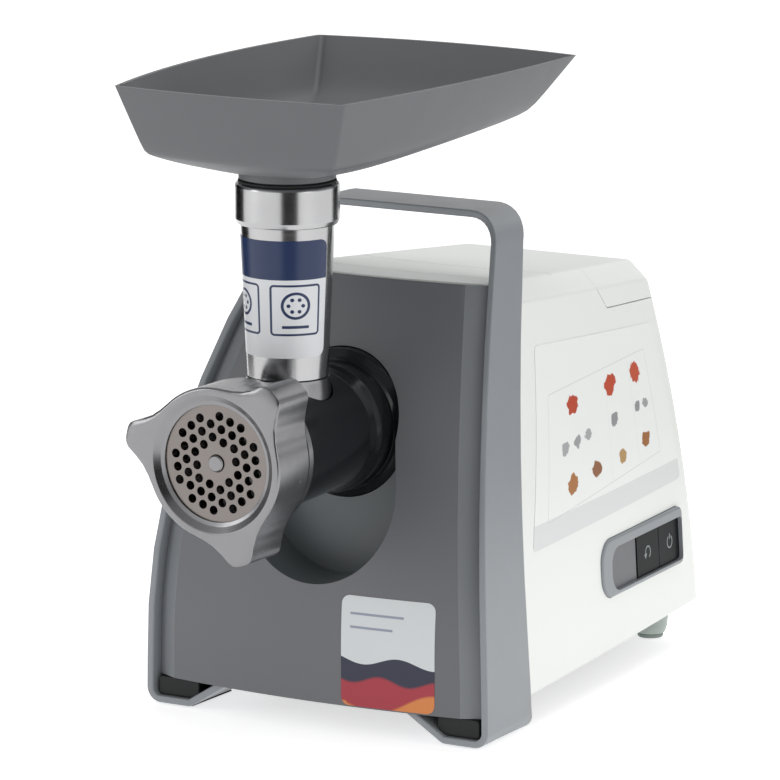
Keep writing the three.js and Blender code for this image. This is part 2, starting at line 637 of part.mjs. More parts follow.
const outputPhase = 0;
const secondPinionPhase = meshPhase(OUTPUT_CENTRE, SECOND_CENTRE, OUTPUT_TEETH, PINION_TEETH, outputPhase);
const firstPinionPhase = meshPhase(SECOND_CENTRE, FIRST_CENTRE, SECOND_TEETH, PINION_TEETH, 0);
const rotorPhase = meshPhase(FIRST_CENTRE, MOTOR_CENTRE, FIRST_TEETH, PINION_TEETH, 0);
const at = (centre) => [centre.x, centre.y];

function driveGear() {
  return gearSolid(OUTPUT_CENTRE, OUTPUT_TEETH, OUTPUT_MODULE, outputPhase, 46, 60)
    .add(disc("y", 15, 45, 62, 28, at(OUTPUT_CENTRE)))
    .subtract(disc("y", 8 + GAP, 30, 80, 24, at(OUTPUT_CENTRE)));
}

function compoundGear(centre, big, pinion) {
  return gearSolid(centre, big.teeth, big.module, big.phase, big.from, big.to)
    .add(gearSolid(centre, PINION_TEETH, pinion.module, pinion.phase, pinion.from, pinion.to))
    .subtract(disc("y", PIN_HOLE, 30, 100, 20, at(centre)));
}

const hexagon = (across, centre, turn = 0) => Array.from({ length: 6 }, (_, i) => {
  const angle = turn + (i * Math.PI) / 3;
  const radius = across / Math.sqrt(3);
  return [centre[0] + radius * Math.cos(angle), centre[1] + radius * Math.sin(angle)];
});

function driveShaft() {
  const profile = [[0, 19], [15.5, 19], [15.5, 37], [8, 37.3], [8, 64], [5, 64], [5, 83.5], [0, 83.5]];
  const outside = turned("y", profile, 32, at(OUTPUT_CENTRE));
  return outside.subtract(prism("y", hexagon(19.6, at(OUTPUT_CENTRE)), 10, 34));
}

// The outline around circles, as a hull of points on them.
function hullAround(circles, segments = 24) {
  const points = circles.flatMap(([x, z, radius]) => Array.from({ length: segments }, (_, i) => {
    const angle = (2 * Math.PI * i) / segments;
    return [x + radius * Math.cos(angle), z + radius * Math.sin(angle)];
  })).sort((a, b) => a[0] - b[0] || a[1] - b[1]);
  const half = (list) => list.reduce((kept, p) => {
    const turn = (a, b) => (b[0] - a[0]) * (p[1] - a[1]) - (b[1] - a[1]) * (p[0] - a[0]);
    while (kept.length > 1 && turn(kept.at(-2), kept.at(-1)) <= 1e-6) kept.pop();
    return [...kept, p];
  }, []);
  const lower = half(points);
  const upper = half(points.reverse());
  return [...lower.slice(0, -1), ...upper.slice(0, -1)];
}

const gearboxCircles = (extra) => [[...at(OUTPUT_CENTRE), 39.5 + extra], [...at(SECOND_CENTRE), 29.8 + extra],
  [...at(FIRST_CENTRE), 22 + extra], [...at(MOTOR_CENTRE), 12 + extra]];

function gearboxHousing() {
  const back = GEARBOX_REAR - 3.5;
  return prism("y", hullAround(gearboxCircles(2.5)), GEARBOX_FRONT, back)
    .subtract(prism("y", hullAround(gearboxCircles(0)), GEARBOX_FRONT + 3, back + 5))
    .subtract(disc("y", 13, 30, 60, 28, at(OUTPUT_CENTRE)));
}

function gearboxCover() {
  return prism("y", hullAround(gearboxCircles(2.5)), GEARBOX_REAR - 3.2, GEARBOX_REAR)
    .subtract(disc("y", 7.2, 60, 100, 24, at(MOTOR_CENTRE)));
}

piece("drive_shaft", driveShaft(), "tool_steel");
piece("drive_gear", driveGear(), "gear_plastic");
piece("second_gear", compoundGear(SECOND_CENTRE,
  { teeth: SECOND_TEETH, module: SECOND_MODULE, phase: 0, from: 62.5, to: 71 },
  { module: OUTPUT_MODULE, phase: secondPinionPhase, from: 45.5, to: 63 }), "gear_plastic");
piece("first_gear", compoundGear(FIRST_CENTRE,
  { teeth: FIRST_TEETH, module: FIRST_MODULE, phase: 0, from: 74, to: 81 },
  { module: SECOND_MODULE, phase: firstPinionPhase, from: 62, to: 75 }), "gear_plastic");
piece("second_gear_pin", disc("y", PIN_R, 43.4, 84.4, 20, at(SECOND_CENTRE)), "tool_steel");
piece("first_gear_pin", disc("y", PIN_R, 43.4, 84.4, 20, at(FIRST_CENTRE)), "tool_steel");
piece("output_bearing", ringOf("y", 8.12, 12.7, GEARBOX_FRONT, 44.6, 28, at(OUTPUT_CENTRE)), "tool_steel");
piece("gearbox_housing", gearboxHousing(), "dark_plastic");
piece("gearbox_cover", gearboxCover(), "cast_aluminium");

// ---------------------------------------------------------------- motor
function rotorShaft() {
  return gearSolid(MOTOR_CENTRE, PINION_TEETH, FIRST_MODULE, rotorPhase, 73, 83)
    .add(disc("y", MOTOR.shaft, 82, MOTOR.rear - 2, 16, at(MOTOR_CENTRE)));
}

function coolingFan() {
  let fan = disc("y", 30, 96.5, 98, 32, at(MOTOR_CENTRE)).add(disc("y", 8, 93, 104, 20, at(MOTOR_CENTRE)));
  const blades = 9;
  for (let i = 0; i < blades; i++) {
    const geometry = new THREE.BoxGeometry(22, 6, 1.4);
    geometry.translate(18, 0, 0).rotateY((2 * Math.PI * i) / blades);
    geometry.translate(MOTOR_CENTRE.x, 100.5, MOTOR_CENTRE.y);
    fan = fan.add(solid(geometry));
  }
  return fan.subtract(disc("y", MOTOR.shaft + GAP, 80, 120, 16, at(MOTOR_CENTRE)));
}

// A block with rounded corners around the motor's axis.
function motorOutline(reachX, reachZ, corner) {
  const corners = [-1, 1].flatMap((x) => [-1, 1].map((z) => [x * reachX, MOTOR_CENTRE.y + z * reachZ, corner]));
  return hullAround(corners, 12);
}

function statorCore() {
  const outline = motorOutline(MOTOR.stator - 10, MOTOR.stator - 14, 10);
  return prism("y", outline, MOTOR.from + 4, MOTOR.to - 4)
    .subtract(disc("y", MOTOR.bore, 80, 200, 32, at(MOTOR_CENTRE)));
}

// A field coil: a flat loop seen end on, above or below the rotor at one end of the core.
function fieldCoil(side) {
  const z = MOTOR_CENTRE.y + side * 26.6;
  return box([-21, MOTOR.to - 3.7, z - 3.6], [21, MOTOR.to + 6, z + 3.6]);
}

function motorBracket(from, to, hole, opening) {
  const plate = prism("y", motorOutline(MOTOR.stator - 8, MOTOR.stator - 10, 8), from, to);
  const ribs = [0, Math.PI / 2].map((turn) => {
    const geometry = new THREE.BoxGeometry(2 * MOTOR.stator - 6, to - from, 9);
    geometry.rotateY(turn).translate(MOTOR_CENTRE.x, (from + to) / 2, MOTOR_CENTRE.y);
    return solid(geometry).intersect(plate);
  });
  const round = (radius, start, end) => disc("y", radius, start, end, 28, at(MOTOR_CENTRE));
  return plate.subtract(round(opening, 80, 220)).add(ribs[0]).add(ribs[1]).add(round(12, from, to))
    .subtract(round(hole, 80, 220));
}

piece("rotor_shaft", rotorShaft(), "tool_steel");
piece("cooling_fan", coolingFan(), "dark_plastic");
piece("front_bearing", ringOf("y", MOTOR.shaft + 0.1, 6.9, 84.9, 91, 20, at(MOTOR_CENTRE)), "tool_steel");
piece("rear_bearing", ringOf("y", MOTOR.shaft + 0.1, 7.9, 181.4, 187, 20, at(MOTOR_CENTRE)), "tool_steel");
piece("stator_core", statorCore(), "laminations");
piece("field_coil_upper", fieldCoil(1), "copper");
piece("field_coil_lower", fieldCoil(-1), "copper");
const onShaft = (radius, from, to) => ringOf("y", MOTOR.shaft + GAP, radius, from, to, 28, at(MOTOR_CENTRE));
piece("armature", onShaft(MOTOR.armature, MOTOR.from + 4, MOTOR.to - 2), "laminations");
piece("commutator", onShaft(12, 162, 176), "copper");
piece("motor_rear_bracket", motorBracket(180.5, 186, 8.2, 30), "cast_aluminium");
for (const [side, word] of [[-1, "left"], [1, "right"]]) {
  const z = MOTOR_CENTRE.y;
  const spans = (near, far) => [side * near, side * far].sort((a, b) => a - b);
  const [brushLow, brushHigh] = spans(12.5, 26);
  const [holderLow, holderHigh] = spans(15, 32);
  piece(`carbon_brush_${word}`, box([brushLow, 165, z - 3], [brushHigh, 173, z + 3]), "carbon");
  const [slotLow, slotHigh] = spans(10, 29);
  const holder = box([holderLow, 163, z - 5], [holderHigh, 180.2, z + 5]);
  const slot = box([slotLow, 164.7, z - 3.3], [slotHigh, 173.3, z + 3.3]);
  piece(`brush_holder_${word}`, holder.subtract(slot), "dark_plastic");
}

// ---------------------------------------------------------------- grinding head
function headCasting() {
  const { barrel, liner, thread, flange, seat, tubeLow } = HEAD;
  const outside = turned("y", [[0, -87.3], [thread, -87.3], [thread, -66.5], [flange, -66.3], [flange, -62.5],
    [SLEEVE.radius + 1, -60], [SLEEVE.radius + 0.3, SLEEVE.front], [liner, SLEEVE.front], [liner, 12], [0, 12]],
    28, [0, AXIS_Z]);
  const tubeSeat = turned("z", [[0, AXIS_Z], [seat + 1.5, AXIS_Z], [seat + 1.5, 181], [seat, 184],
    [seat, tubeLow], [0, tubeLow]], 28, [0, TUBE_Y]);
  const bore = turned("y", [[0, -100], [31.3, -100], [31.3, -82.3], [barrel, -82.3], [barrel, 7], [0, 7]],
    28, [0, AXIS_Z]);
  const mouth = disc("z", TUBE.low - TUBE.wall, AXIS_Z, 200, 28, [0, TUBE_Y]);
  const journal = disc("y", 9.1, 0, 30, 24, [0, AXIS_Z]);
  const tubeFoot = disc("z", TUBE.low + 1, tubeLow, 230, 28, [0, TUBE_Y]);
  return outside.add(tubeSeat).subtract(bore).subtract(mouth).subtract(journal).subtract(tubeFoot);
}

// The dark sleeve around the barrel. It ends in the collar that plugs into the socket.
function headNeck() {
  const bore = HEAD.liner + GAP;
  const plug = SOCKET.inner - 0.4;
  const seatHole = disc("z", HEAD.seat + 1.5 + GAP, AXIS_Z, 210, 28, [0, TUBE_Y]);
  return turned("y", [[bore, SLEEVE.front + GAP], [SLEEVE.radius, SLEEVE.front + GAP], [SLEEVE.waist, 6],
    [32.4, 9.5], [SLEEVE.collar, 12], [SLEEVE.collar, 22.6], [plug, 23], [plug, 31], [28, 31], [28, 18],
    [17, 18], [17, 12.4], [bore, 12.4]], 28, [0, AXIS_Z]).subtract(seatHole);
}

function feedTube() {
  const low = HEAD.tubeLow + GAP;
  const outside = [[TUBE.low, low], [TUBE.high, COLLAR.low], [TUBE.high, TUBE.top]];
  const inside = outside.map(([radius, z]) => [radius - TUBE.wall, z]).reverse();
  return turned("z", [...outside, ...inside], 28, [0, TUBE_Y]);
}

function tubeCollar() {
  const { radius, low, high } = COLLAR;
  return turned("z", [[TUBE.high + GAP, low], [radius - 1.6, low], [radius, low + 2.2], [radius, high - 0.6],
    [radius - 0.6, high], [TUBE.high + GAP, high]], 28, [0, TUBE_Y]);
}

const collarGasket = () =>
  ringOf("z", SPOUT.radius + 0.4, COLLAR.radius - 0.8, COLLAR.high + GAP, COLLAR.high + 2, 28, [0, TUBE_Y]);

// The tray: a bowed four-cornered rim over a hull that is lowest at the spout.
function trayRing(share, height, inset, side = 5) {
  const { front, rear, frontHalf, rearHalf, middle } = TRAY;
  const corners = [[-frontHalf, front], [frontHalf, front], [rearHalf, rear], [-rearHalf, rear]];
  const ring = [];
  corners.forEach(([x0, y0], k) => {
    const [x1, y1] = corners[(k + 1) % 4];
    const length = Math.hypot(x1 - x0, y1 - y0);
    for (let i = 0; i < side; i++) {
      const t = i / side;
      const out = TRAY_BOWS[k] * 4 * t * (1 - t);
      const x = x0 + (x1 - x0) * t + ((y1 - y0) / length) * out;
      const y = y0 + (y1 - y0) * t - ((x1 - x0) / length) * out;
      ring.push([x, y]);
    }
  });
  return ring.map(([x, y]) => {
    const angle = Math.atan2(x, TUBE_Y - y);
    const round = [SPOUT.neck * Math.sin(angle), TUBE_Y - SPOUT.neck * Math.cos(angle)];
    const shrink = 1 - inset / Math.hypot(x, y - middle);
    const px = round[0] + (x * shrink - round[0]) * share;
    const py = round[1] + (middle + (y - middle) * shrink - round[1]) * share;
    return [px, py, height(px, py)];
  });
}

function fillingTray() {
  const rise = (y) => THREE.MathUtils.clamp((y - TRAY.front) / (TRAY.rear - TRAY.front), 0, 1);
  const depth = TRAY.rim - TRAY.floor;
  const hull = (share) => (x, y) => TRAY.floor + depth * share ** (3.8 - 1.3 * rise(y));
  const levels = [0, 0.4, 0.64, 0.82, 1].map((share) => [share, hull(share)]);
  const outer = levels.map(([share, height]) => trayRing(share, height, 0));
  const inner = levels.map(([share, height]) => {
    const up = share === 1 ? 0 : TRAY.wall;
    return trayRing(share, (x, y) => height(x, y) + up, TRAY.wall * Math.max(share, 0.2));
  }).reverse();
  const circle = (radius, z) => outer[0].map(([x, y]) => {
    const angle = Math.atan2(y - TUBE_Y, x);
    return [radius * Math.cos(angle), TUBE_Y + radius * Math.sin(angle), z];
  });
  const neckLow = COLLAR.high + 2 + GAP;
  const bottom = [circle(SPOUT.bore, TRAY.floor + TRAY.wall), circle(SPOUT.bore, SPOUT.low),
    circle(SPOUT.radius, SPOUT.low), circle(SPOUT.radius, neckLow), circle(SPOUT.neck, neckLow)];
  return loft([...bottom, ...outer, ...inner.slice(0, -1)], true);
}

// The worm: a tapered core with a helical flight, a square nose for the knife and a front pin.
function auger() {
  const core = turned("y", [[0, -93.5], [3.6, -93.5], [4.2, -92.8], [4.2, -87.6], [4.4, -87.3],
    [4.4, WORM.front - 0.2], [9.5, WORM.front], [WORM.core, WORM.rear - 8], [WORM.core, WORM.rear],
    [8.9, WORM.rear], [8.9, 13.5], [0, 13.5]], 24, [0, AXIS_Z]);
  const square = WORM.square / 2;
  const nose = box([-square, -87.2, AXIS_Z - square], [square, WORM.front + 1, AXIS_Z + square]);
  const steps = 11;
  const rings = [];
  const total = Math.round(WORM.turns * steps);
  const length = WORM.rear - WORM.front - 5;
  for (let i = 0; i <= total; i++) {
    const angle = (2 * Math.PI * i) / steps;
    const y = WORM.front + 2.4 + (length * i) / total;
    const point = (radius, dy) => [radius * Math.cos(angle), y + dy, AXIS_Z + radius * Math.sin(angle)];
    rings.push([point(7, -2.4), point(WORM.radius, -1.3), point(WORM.radius, 1.3), point(7, 2.4)]);
  }
  return core.add(nose).add(loft(rings));
}

function knife() {
  const blades = 4;
  const outline = [];
  for (let i = 0; i < blades; i++) {
    const angle = (2 * Math.PI * i) / blades + 0.35;
    const polar = (radius, turn) => [radius * Math.cos(angle + turn), AXIS_Z + radius * Math.sin(angle + turn)];
    outline.push(polar(11, -0.45), polar(28.5, -0.02), polar(29.5, 0.16), polar(24, 0.24), polar(11, 0.5));
  }
  const hole = WORM.square / 2 + GAP;
  const squareHole = box([-hole, -100, AXIS_Z - hole], [hole, -80, AXIS_Z + hole]);
  return prism("y", outline, -86.9, -82.6).subtract(squareHole);
}

function perforatedDisc() {
  const shape = new THREE.Shape();
  shape.absarc(0, AXIS_Z, DISC_RADIUS, 0, 2 * Math.PI, false);
  const hole = (x, z, radius, sides) => new THREE.Path(Array.from({ length: sides }, (_, i) => {
    const angle = (-2 * Math.PI * i) / sides;
    return new THREE.Vector2(x + radius * Math.cos(angle), AXIS_Z + z + radius * Math.sin(angle));
  }));
  shape.holes.push(hole(0, 0, 4.45, 20));
  const reach = 4;
  for (let q = -reach; q <= reach; q++) {
    for (let r = -reach; r <= reach; r++) {
      const ring = Math.max(Math.abs(q), Math.abs(r), Math.abs(q + r));
      const corner = ring === reach && [q, r, q + r].includes(0);
      if (ring < 2 || ring > reach || corner) continue;
      const x = HOLE_PITCH * (q + r / 2);
      const z = HOLE_PITCH * r * Math.sin(Math.PI / 3);
      const turnedPoint = new THREE.Vector2(x, z).rotateAround(new THREE.Vector2(), LATTICE_TURN);
      shape.holes.push(hole(turnedPoint.x, turnedPoint.y, HOLE_RADIUS, 6));
    }
  }
  return prism("y", shape, DISC_FRONT, DISC_FRONT + DISC_THICKNESS, 20);
}

// The ring nut: a round rim with three lugs, a threaded bore and a lip that holds the disc.
function ringNut() {
  const lugs = 3;
  const outline = [];
  for (let i = 0; i < lugs; i++) {
    const middle = THREE.MathUtils.degToRad(NUT.turn + 120 * i);
    const add = (radius, degrees) => {
      const angle = middle + THREE.MathUtils.degToRad(degrees);
      outline.push([radius * Math.cos(angle), AXIS_Z + radius * Math.sin(angle)]);
    };
    const flank = [[NUT.radius, 34], [NUT.radius + 0.9, 26], [41.8, 18], [46, 11.5],
      [NUT.lug - 1.2, 7.5], [NUT.lug, 4]];
    for (const [radius, degrees] of flank) add(radius, -degrees);
    for (const [radius, degrees] of flank.reverse()) add(radius, degrees);
    for (const degrees of [43, 52, 60, 68, 77]) add(NUT.radius, degrees);
  }
  const bore = turned("y", [[0, -110], [NUT.lip, -110], [NUT.lip, NUT.lipBack], [NUT.bore, NUT.lipBack],
    [NUT.bore, -50], [0, -50]], 28, [0, AXIS_Z]);
  return prism("y", outline, NUT_FRONT, NUT.back).subtract(bore);
}

function driveCoupling() {
  return prism("y", hexagon(19, at(OUTPUT_CENTRE)), 19.3, 33)
    .add(disc("y", 14.5, 13.9, 18.7, 28, [0, AXIS_Z]))
    .add(disc("y", 9, 18, 20, 20, [0, AXIS_Z]));
}

piece("head_casting", headCasting(), "cast_aluminium");
piece("head_neck", whole(headNeck()), "black_gloss");
piece("feed_tube", feedTube(), "polished_steel");
piece("tube_collar", tubeCollar(), "polished_steel");
piece("collar_gasket", collarGasket(), "rubber");
piece("filling_tray", fillingTray(), "tray_grey");
piece("auger", whole(auger()), "cast_aluminium");
piece("knife", knife(), "tool_steel");
piece("perforated_disc", perforatedDisc(), "disc_steel");
piece("ring_nut", ringNut(), "cast_aluminium");
piece("drive_coupling", driveCoupling(), "dark_plastic");

grinder.position.y = -(NUT_FRONT + GLAND_END) / 2;
export default grinder;
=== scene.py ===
# %% [markdown]
# # An electric meat grinder, piece by piece
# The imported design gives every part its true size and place. This lesson builds the fine surfaces
# around it: the moulded casing, the cast and turned metal of the grinding head, the tray and the
# labels. Lengths are in millimetres, counted from the front edge of the front feet, and one helper
# turns them into the scene's metres.

# %% Load the frame
import json
import math
import bpy
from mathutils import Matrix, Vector

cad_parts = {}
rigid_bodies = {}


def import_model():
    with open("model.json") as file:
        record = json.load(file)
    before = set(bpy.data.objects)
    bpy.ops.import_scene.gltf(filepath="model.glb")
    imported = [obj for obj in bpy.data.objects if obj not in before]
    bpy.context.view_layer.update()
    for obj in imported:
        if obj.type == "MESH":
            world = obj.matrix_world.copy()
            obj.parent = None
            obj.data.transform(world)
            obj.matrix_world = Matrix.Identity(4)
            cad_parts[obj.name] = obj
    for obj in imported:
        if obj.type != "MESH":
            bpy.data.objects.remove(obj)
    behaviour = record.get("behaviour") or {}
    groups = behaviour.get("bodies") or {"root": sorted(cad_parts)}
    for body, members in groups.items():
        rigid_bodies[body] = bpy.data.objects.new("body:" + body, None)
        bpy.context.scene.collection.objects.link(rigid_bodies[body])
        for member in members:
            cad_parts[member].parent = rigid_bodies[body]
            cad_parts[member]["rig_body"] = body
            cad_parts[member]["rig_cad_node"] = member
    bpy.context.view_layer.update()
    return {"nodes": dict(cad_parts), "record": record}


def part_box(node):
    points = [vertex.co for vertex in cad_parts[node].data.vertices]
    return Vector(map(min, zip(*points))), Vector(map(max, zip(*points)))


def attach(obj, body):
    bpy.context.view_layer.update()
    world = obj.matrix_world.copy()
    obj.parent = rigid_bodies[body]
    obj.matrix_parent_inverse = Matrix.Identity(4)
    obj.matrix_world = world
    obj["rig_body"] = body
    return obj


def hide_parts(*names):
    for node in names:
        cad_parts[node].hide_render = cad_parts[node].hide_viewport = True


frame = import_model()
NODES = frame["nodes"]

# %% Driving dimensions
MM = 0.001
GAP = 0.3
NUT_FRONT = -96.0
AXIS_Z = 154.0
TUBE_Y = -24.4
WALL = 2.6
BAND = 3.8
HANDLE_TOP = 259.0
ROOF_HEIGHT, ROOF_SLOPE = 229.6, 0.078
PANEL_GAP, SHELL_SETBACK = 0.4, 9.3
TAPER = math.tan(math.radians(4.6))
ORIGIN_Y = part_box("ring_nut")[0].y - NUT_FRONT * MM
print("front edge of the feet at y =", round(ORIGIN_Y, 4), "m")


def row(x, y, z):
    """A place given in millimetres, as a point of the scene."""
    return Vector((x * MM, ORIGIN_Y + y * MM, z * MM))


def half_width(z):
    """Half the width over the handle frame, which narrows upwards."""
    return 101.3 - 0.00073 * max(z - 20, 0) ** 2


def panel_half(z):
    """Half the width between the two sides of the frame."""
    return half_width(z) - BAND - PANEL_GAP


def front_edge(z):
    """How far the front edge has leaned back at a height."""
    return 0.00182 * max(z - 45, 0) ** 2


def rear_wall(z):
    return 277 - 0.143 * (z - 16.5)


def top_surface(y):
    return ROOF_HEIGHT - ROOF_SLOPE * y


def underside(y):
    return 16.5 + 0.025 * y


def side_wall(y, z):
    return half_width(z) - 1.5 - (y - front_edge(z)) * TAPER


# %% [markdown]
# ## Camera, floor and light
# The camera comes first, because everything is judged through it. A long lens far away keeps the
# upright edges upright. The floor is one big pale sheet, and three soft boxes light the object from
# above, from the left and from the right, as in a small product studio. Three black cards stand
# round it and show only in reflections, because polished metal looks flat without something dark.

# %% Camera
AZIMUTH, ELEVATION = math.radians(30.534), math.radians(11.063)
DISTANCE = 3.1077
back = Vector((math.sin(AZIMUTH) * math.cos(ELEVATION), -math.cos(AZIMUTH) * math.cos(ELEVATION),
               math.sin(ELEVATION)))
camera = bpy.data.objects.new("camera", bpy.data.cameras.new("camera"))
bpy.context.scene.collection.objects.link(camera)
camera.location = row(-8.25, 90, 159.34) + back * DISTANCE
camera.rotation_euler = back.to_track_quat("Z", "Y").to_euler()
camera.data.lens = 276.92
camera.data.clip_end = 200
bpy.context.scene.camera = camera
bpy.context.scene.view_settings.view_transform = "Standard"
print("camera at", [round(c, 3) for c in camera.location])


# %% Small workbench helpers
def clear():
    bpy.ops.object.select_all(action="DESELECT")


def alone(obj):
    clear()
    obj.select_set(True)
    bpy.context.view_layer.objects.active = obj


def named(name):
    obj = bpy.context.active_object
    obj.name = obj.data.name = name
    return obj


def edit(obj, *steps):
    """Opens the mesh, selects all of it, runs the steps and closes it again."""
    alone(obj)
    bpy.ops.object.mode_set(mode="EDIT")
    bpy.ops.mesh.select_mode(type="VERT")
    bpy.ops.mesh.select_all(action="SELECT")
    for step in steps:
        step()
    bpy.ops.object.mode_set(mode="OBJECT")


def merge():
    bpy.ops.mesh.remove_doubles(threshold=1e-6)


def outward():
    bpy.ops.mesh.normals_make_consistent(inside=False)


def close_holes():
    bpy.ops.mesh.select_all(action="SELECT")
    bpy.ops.mesh.fill_holes(sides=0)


def press(obj, kind, **settings):
    """Adds one modifier with these settings and applies it."""
    alone(obj)
    modifier = obj.modifiers.new(kind.title(), kind)
    for key, value in settings.items():
        setattr(modifier, key, value)
    bpy.ops.object.modifier_apply(modifier=modifier.name)
    return obj


def soft_edges(obj, width=0.6, segments=3, angle=35):
    return press(obj, "BEVEL", width=width * MM, segments=segments, limit_method="ANGLE",
                 angle_limit=math.radians(angle))


def choose(obj, test):
    """Opens the mesh with only the faces that pass the test selected."""
    alone(obj)
    bpy.ops.object.mode_set(mode="EDIT")
    bpy.ops.mesh.select_mode(type="FACE")
    bpy.ops.mesh.select_all(action="DESELECT")
    bpy.ops.object.mode_set(mode="OBJECT")
    for face in obj.data.polygons:
        face.select = test(face)
    bpy.ops.object.mode_set(mode="EDIT")


def leave():
    """Closes the mesh again, back in point mode."""
    bpy.ops.mesh.select_mode(type="VERT")
    bpy.ops.object.mode_set(mode="OBJECT")


def carve(obj, tool, operation="DIFFERENCE"):
    """Cuts, joins or intersects a piece with a tool, and throws the tool away."""
    press(obj, "BOOLEAN", operation=operation, object=tool, solver="EXACT")
    bpy.data.objects.remove(tool)
    return obj


# %% Floor and lights
clear()
bpy.ops.mesh.primitive_plane_add(size=60)
floor = named("floor")


def soft_box(name, place, aim, size, power):
    light = bpy.data.objects.new(name, bpy.data.lights.new(name, "AREA"))
    bpy.context.scene.collection.objects.link(light)
    light.data.shape = "RECTANGLE"
    light.data.size, light.data.size_y = size
    light.data.energy = power
    light.location = place
    light.rotation_euler = (Vector(place) - Vector(aim)).to_track_quat("Z", "Y").to_euler()


MIDDLE = (0, 0, 0.16)
soft_box("top_box", (0.1, 0.3, 2.0), MIDDLE, (1.6, 1.6), 10)
soft_box("left_box", (-1.6, -1.6, 0.9), MIDDLE, (0.6, 1.4), 6.5)
soft_box("right_box", (2.0, -0.6, 0.9), MIDDLE, (0.8, 1.4), 4.5)


def dark_card(name, bearing, width, distance=0.8, height=0.55):
    """A black card that only shows in reflections; the bearing is counted from the camera's side."""
    turn = AZIMUTH + math.radians(bearing)
    clear()
    bpy.ops.mesh.primitive_plane_add(size=1)
    card = named(name)
    out = Vector((math.sin(turn), -math.cos(turn), 0)) * distance
    for point, (u, v) in zip(card.data.vertices, ((-0.5, 0), (0.5, 0), (-0.5, 1), (0.5, 1))):
        along = Vector((math.cos(turn), math.sin(turn), 0)) * u * width
        point.co = out + along + Vector((0, 0, v * height))
    card.visible_camera = card.visible_diffuse = card.visible_shadow = False
    return card


CARDS = [dark_card("front_card", 1, 0.46), dark_card("right_card", 127, 0.43),
         dark_card("left_card", -122, 0.62)]
print("lights: 3, reflection cards:", len(CARDS))

# %% [markdown]
# ## A small language for finishes
# A finish is a handful of shader nodes. Writing the sums as plain expressions keeps them readable:
# `1 - mask` adds its own Math node. Colours go through Mix nodes, because a Math node would turn
# them grey. What is the same all over is set straight on the shader.


# %% Wires and finishes
class Wire:
    """One socket of a material, with the arithmetic that the patterns use."""

    def __init__(self, finish, socket):
        self.finish, self.socket = finish, socket

    def sum(self, operation, *values, clamp=False):
        return self.finish.sum(operation, *values, clamp=clamp)

    def __add__(self, other):
        return self.sum("ADD", self, other)

    def __sub__(self, other):
        return self.sum("SUBTRACT", self, other)

    def __rsub__(self, other):
        return self.sum("SUBTRACT", other, self)

    def __mul__(self, other):
        return self.sum("MULTIPLY", self, other)

    def __pow__(self, other):
        return self.sum("POWER", self, other)

    __radd__ = __add__
    __rmul__ = __mul__

    def absolute(self):
        return self.sum("ABSOLUTE", self)

    def sine(self):
        return self.sum("SINE", self)

    def inside(self, edge=0.0, softness=0.12):
        """1 where the value is over the edge, 0 below it, with a soft step between."""
        return self.sum("MULTIPLY", self - edge, 1 / softness, clamp=True)


class Finish:
    """One material and the nodes that make it."""

    def __init__(self, name):
        self.material = bpy.data.materials.new(name)
        self.material.use_nodes = True
        self.tree = self.material.node_tree
        self.tree.nodes.clear()

    def node(self, kind, settings=None, values=None, output=0):
        made = self.tree.nodes.new(kind)
        for key, value in (settings or {}).items():
            setattr(made, key, value)
        for key, value in (values or {}).items():
            if isinstance(value, Wire):
                self.tree.links.new(value.socket, made.inputs[key])
            else:
                made.inputs[key].default_value = value
        return Wire(self, made.outputs[output]) if output is not None else made

    def sum(self, operation, *values, clamp=False):
        return self.node("ShaderNodeMath", {"operation": operation, "use_clamp": clamp},
                         dict(enumerate(values)))

    def where(self, stretch):
        """The place on the piece, stretched along its axes."""
        place = self.node("ShaderNodeTexCoord", output="Object")
        return self.node("ShaderNodeMapping", None, {"Vector": place, "Scale": stretch})

    def parts(self, space="Object"):
        """The place on the piece, as three separate lengths."""
        place = self.node("ShaderNodeTexCoord", output=space)
        split = self.node("ShaderNodeSeparateXYZ", None, {0: place}).socket.node
        return [Wire(self, out) for out in split.outputs]

    def noise(self, scale, detail=2.0, stretch=(1, 1, 1)):
        return self.node("ShaderNodeTexNoise", None,
                         {"Vector": self.where(stretch), "Scale": scale, "Detail": detail})

    def blend(self, low, high, share):
        return self.node("ShaderNodeMix", {"data_type": "RGBA"}, {0: share, 6: low, 7: high}, output=2)

    def bump(self, height, distance, strength):
        return self.node("ShaderNodeBump", None,
                         {"Height": height, "Distance": distance, "Strength": strength})

    def surface(self, **sockets):
        values = {key.replace("_", " "): value for key, value in sockets.items()}
        shader = self.node("ShaderNodeBsdfPrincipled", None, values)
        self.node("ShaderNodeOutputMaterial", None, {"Surface": shader}, output=None)
        return self.material


def tone(code, gain=1.0):
    """A display colour such as #8c9194 as the linear colour that a shader takes."""
    shares = [int(code[i:i + 2], 16) / 255 for i in (1, 3, 5)]
    linear = [s / 12.92 if s <= 0.04045 else ((s + 0.055) / 1.055) ** 2.4 for s in shares]
    return (*[min(s * gain, 1.0) for s in linear], 1.0)


# %% [markdown]
# ## The finishes
# Moulded plastic is never quite even: the tool's texture leaves a fine grain, the colour drifts a
# little over a large wall, and handling polishes it in patches. Cast metal is blotchy and a bit
# dull, turned metal has fine rings, and a ground face has straight marks.


# %% Plastics
def moulded(name, code, roughness, grain=0.00004, drift=0.06, patchy=0.12, shine=0.5, bend=1.45):
    """Plastic: grain is the texture's depth, drift the colour's, patchy the polish's; bend is the IOR."""
    finish = Finish(name)
    fine = finish.noise(1600, 2)
    broad = finish.noise(14, 3)
    patches = finish.noise(60, 4)
    colour = finish.blend(tone(code, 1 - drift), tone(code, 1 + drift), broad)
    rough = roughness + (patches - 0.5) * patchy + (fine - 0.5) * 0.06
    return finish.surface(Base_Color=colour, Roughness=rough, Specular_IOR_Level=shine, IOR=bend,
                          Normal=finish.bump(fine, grain, 0.5))


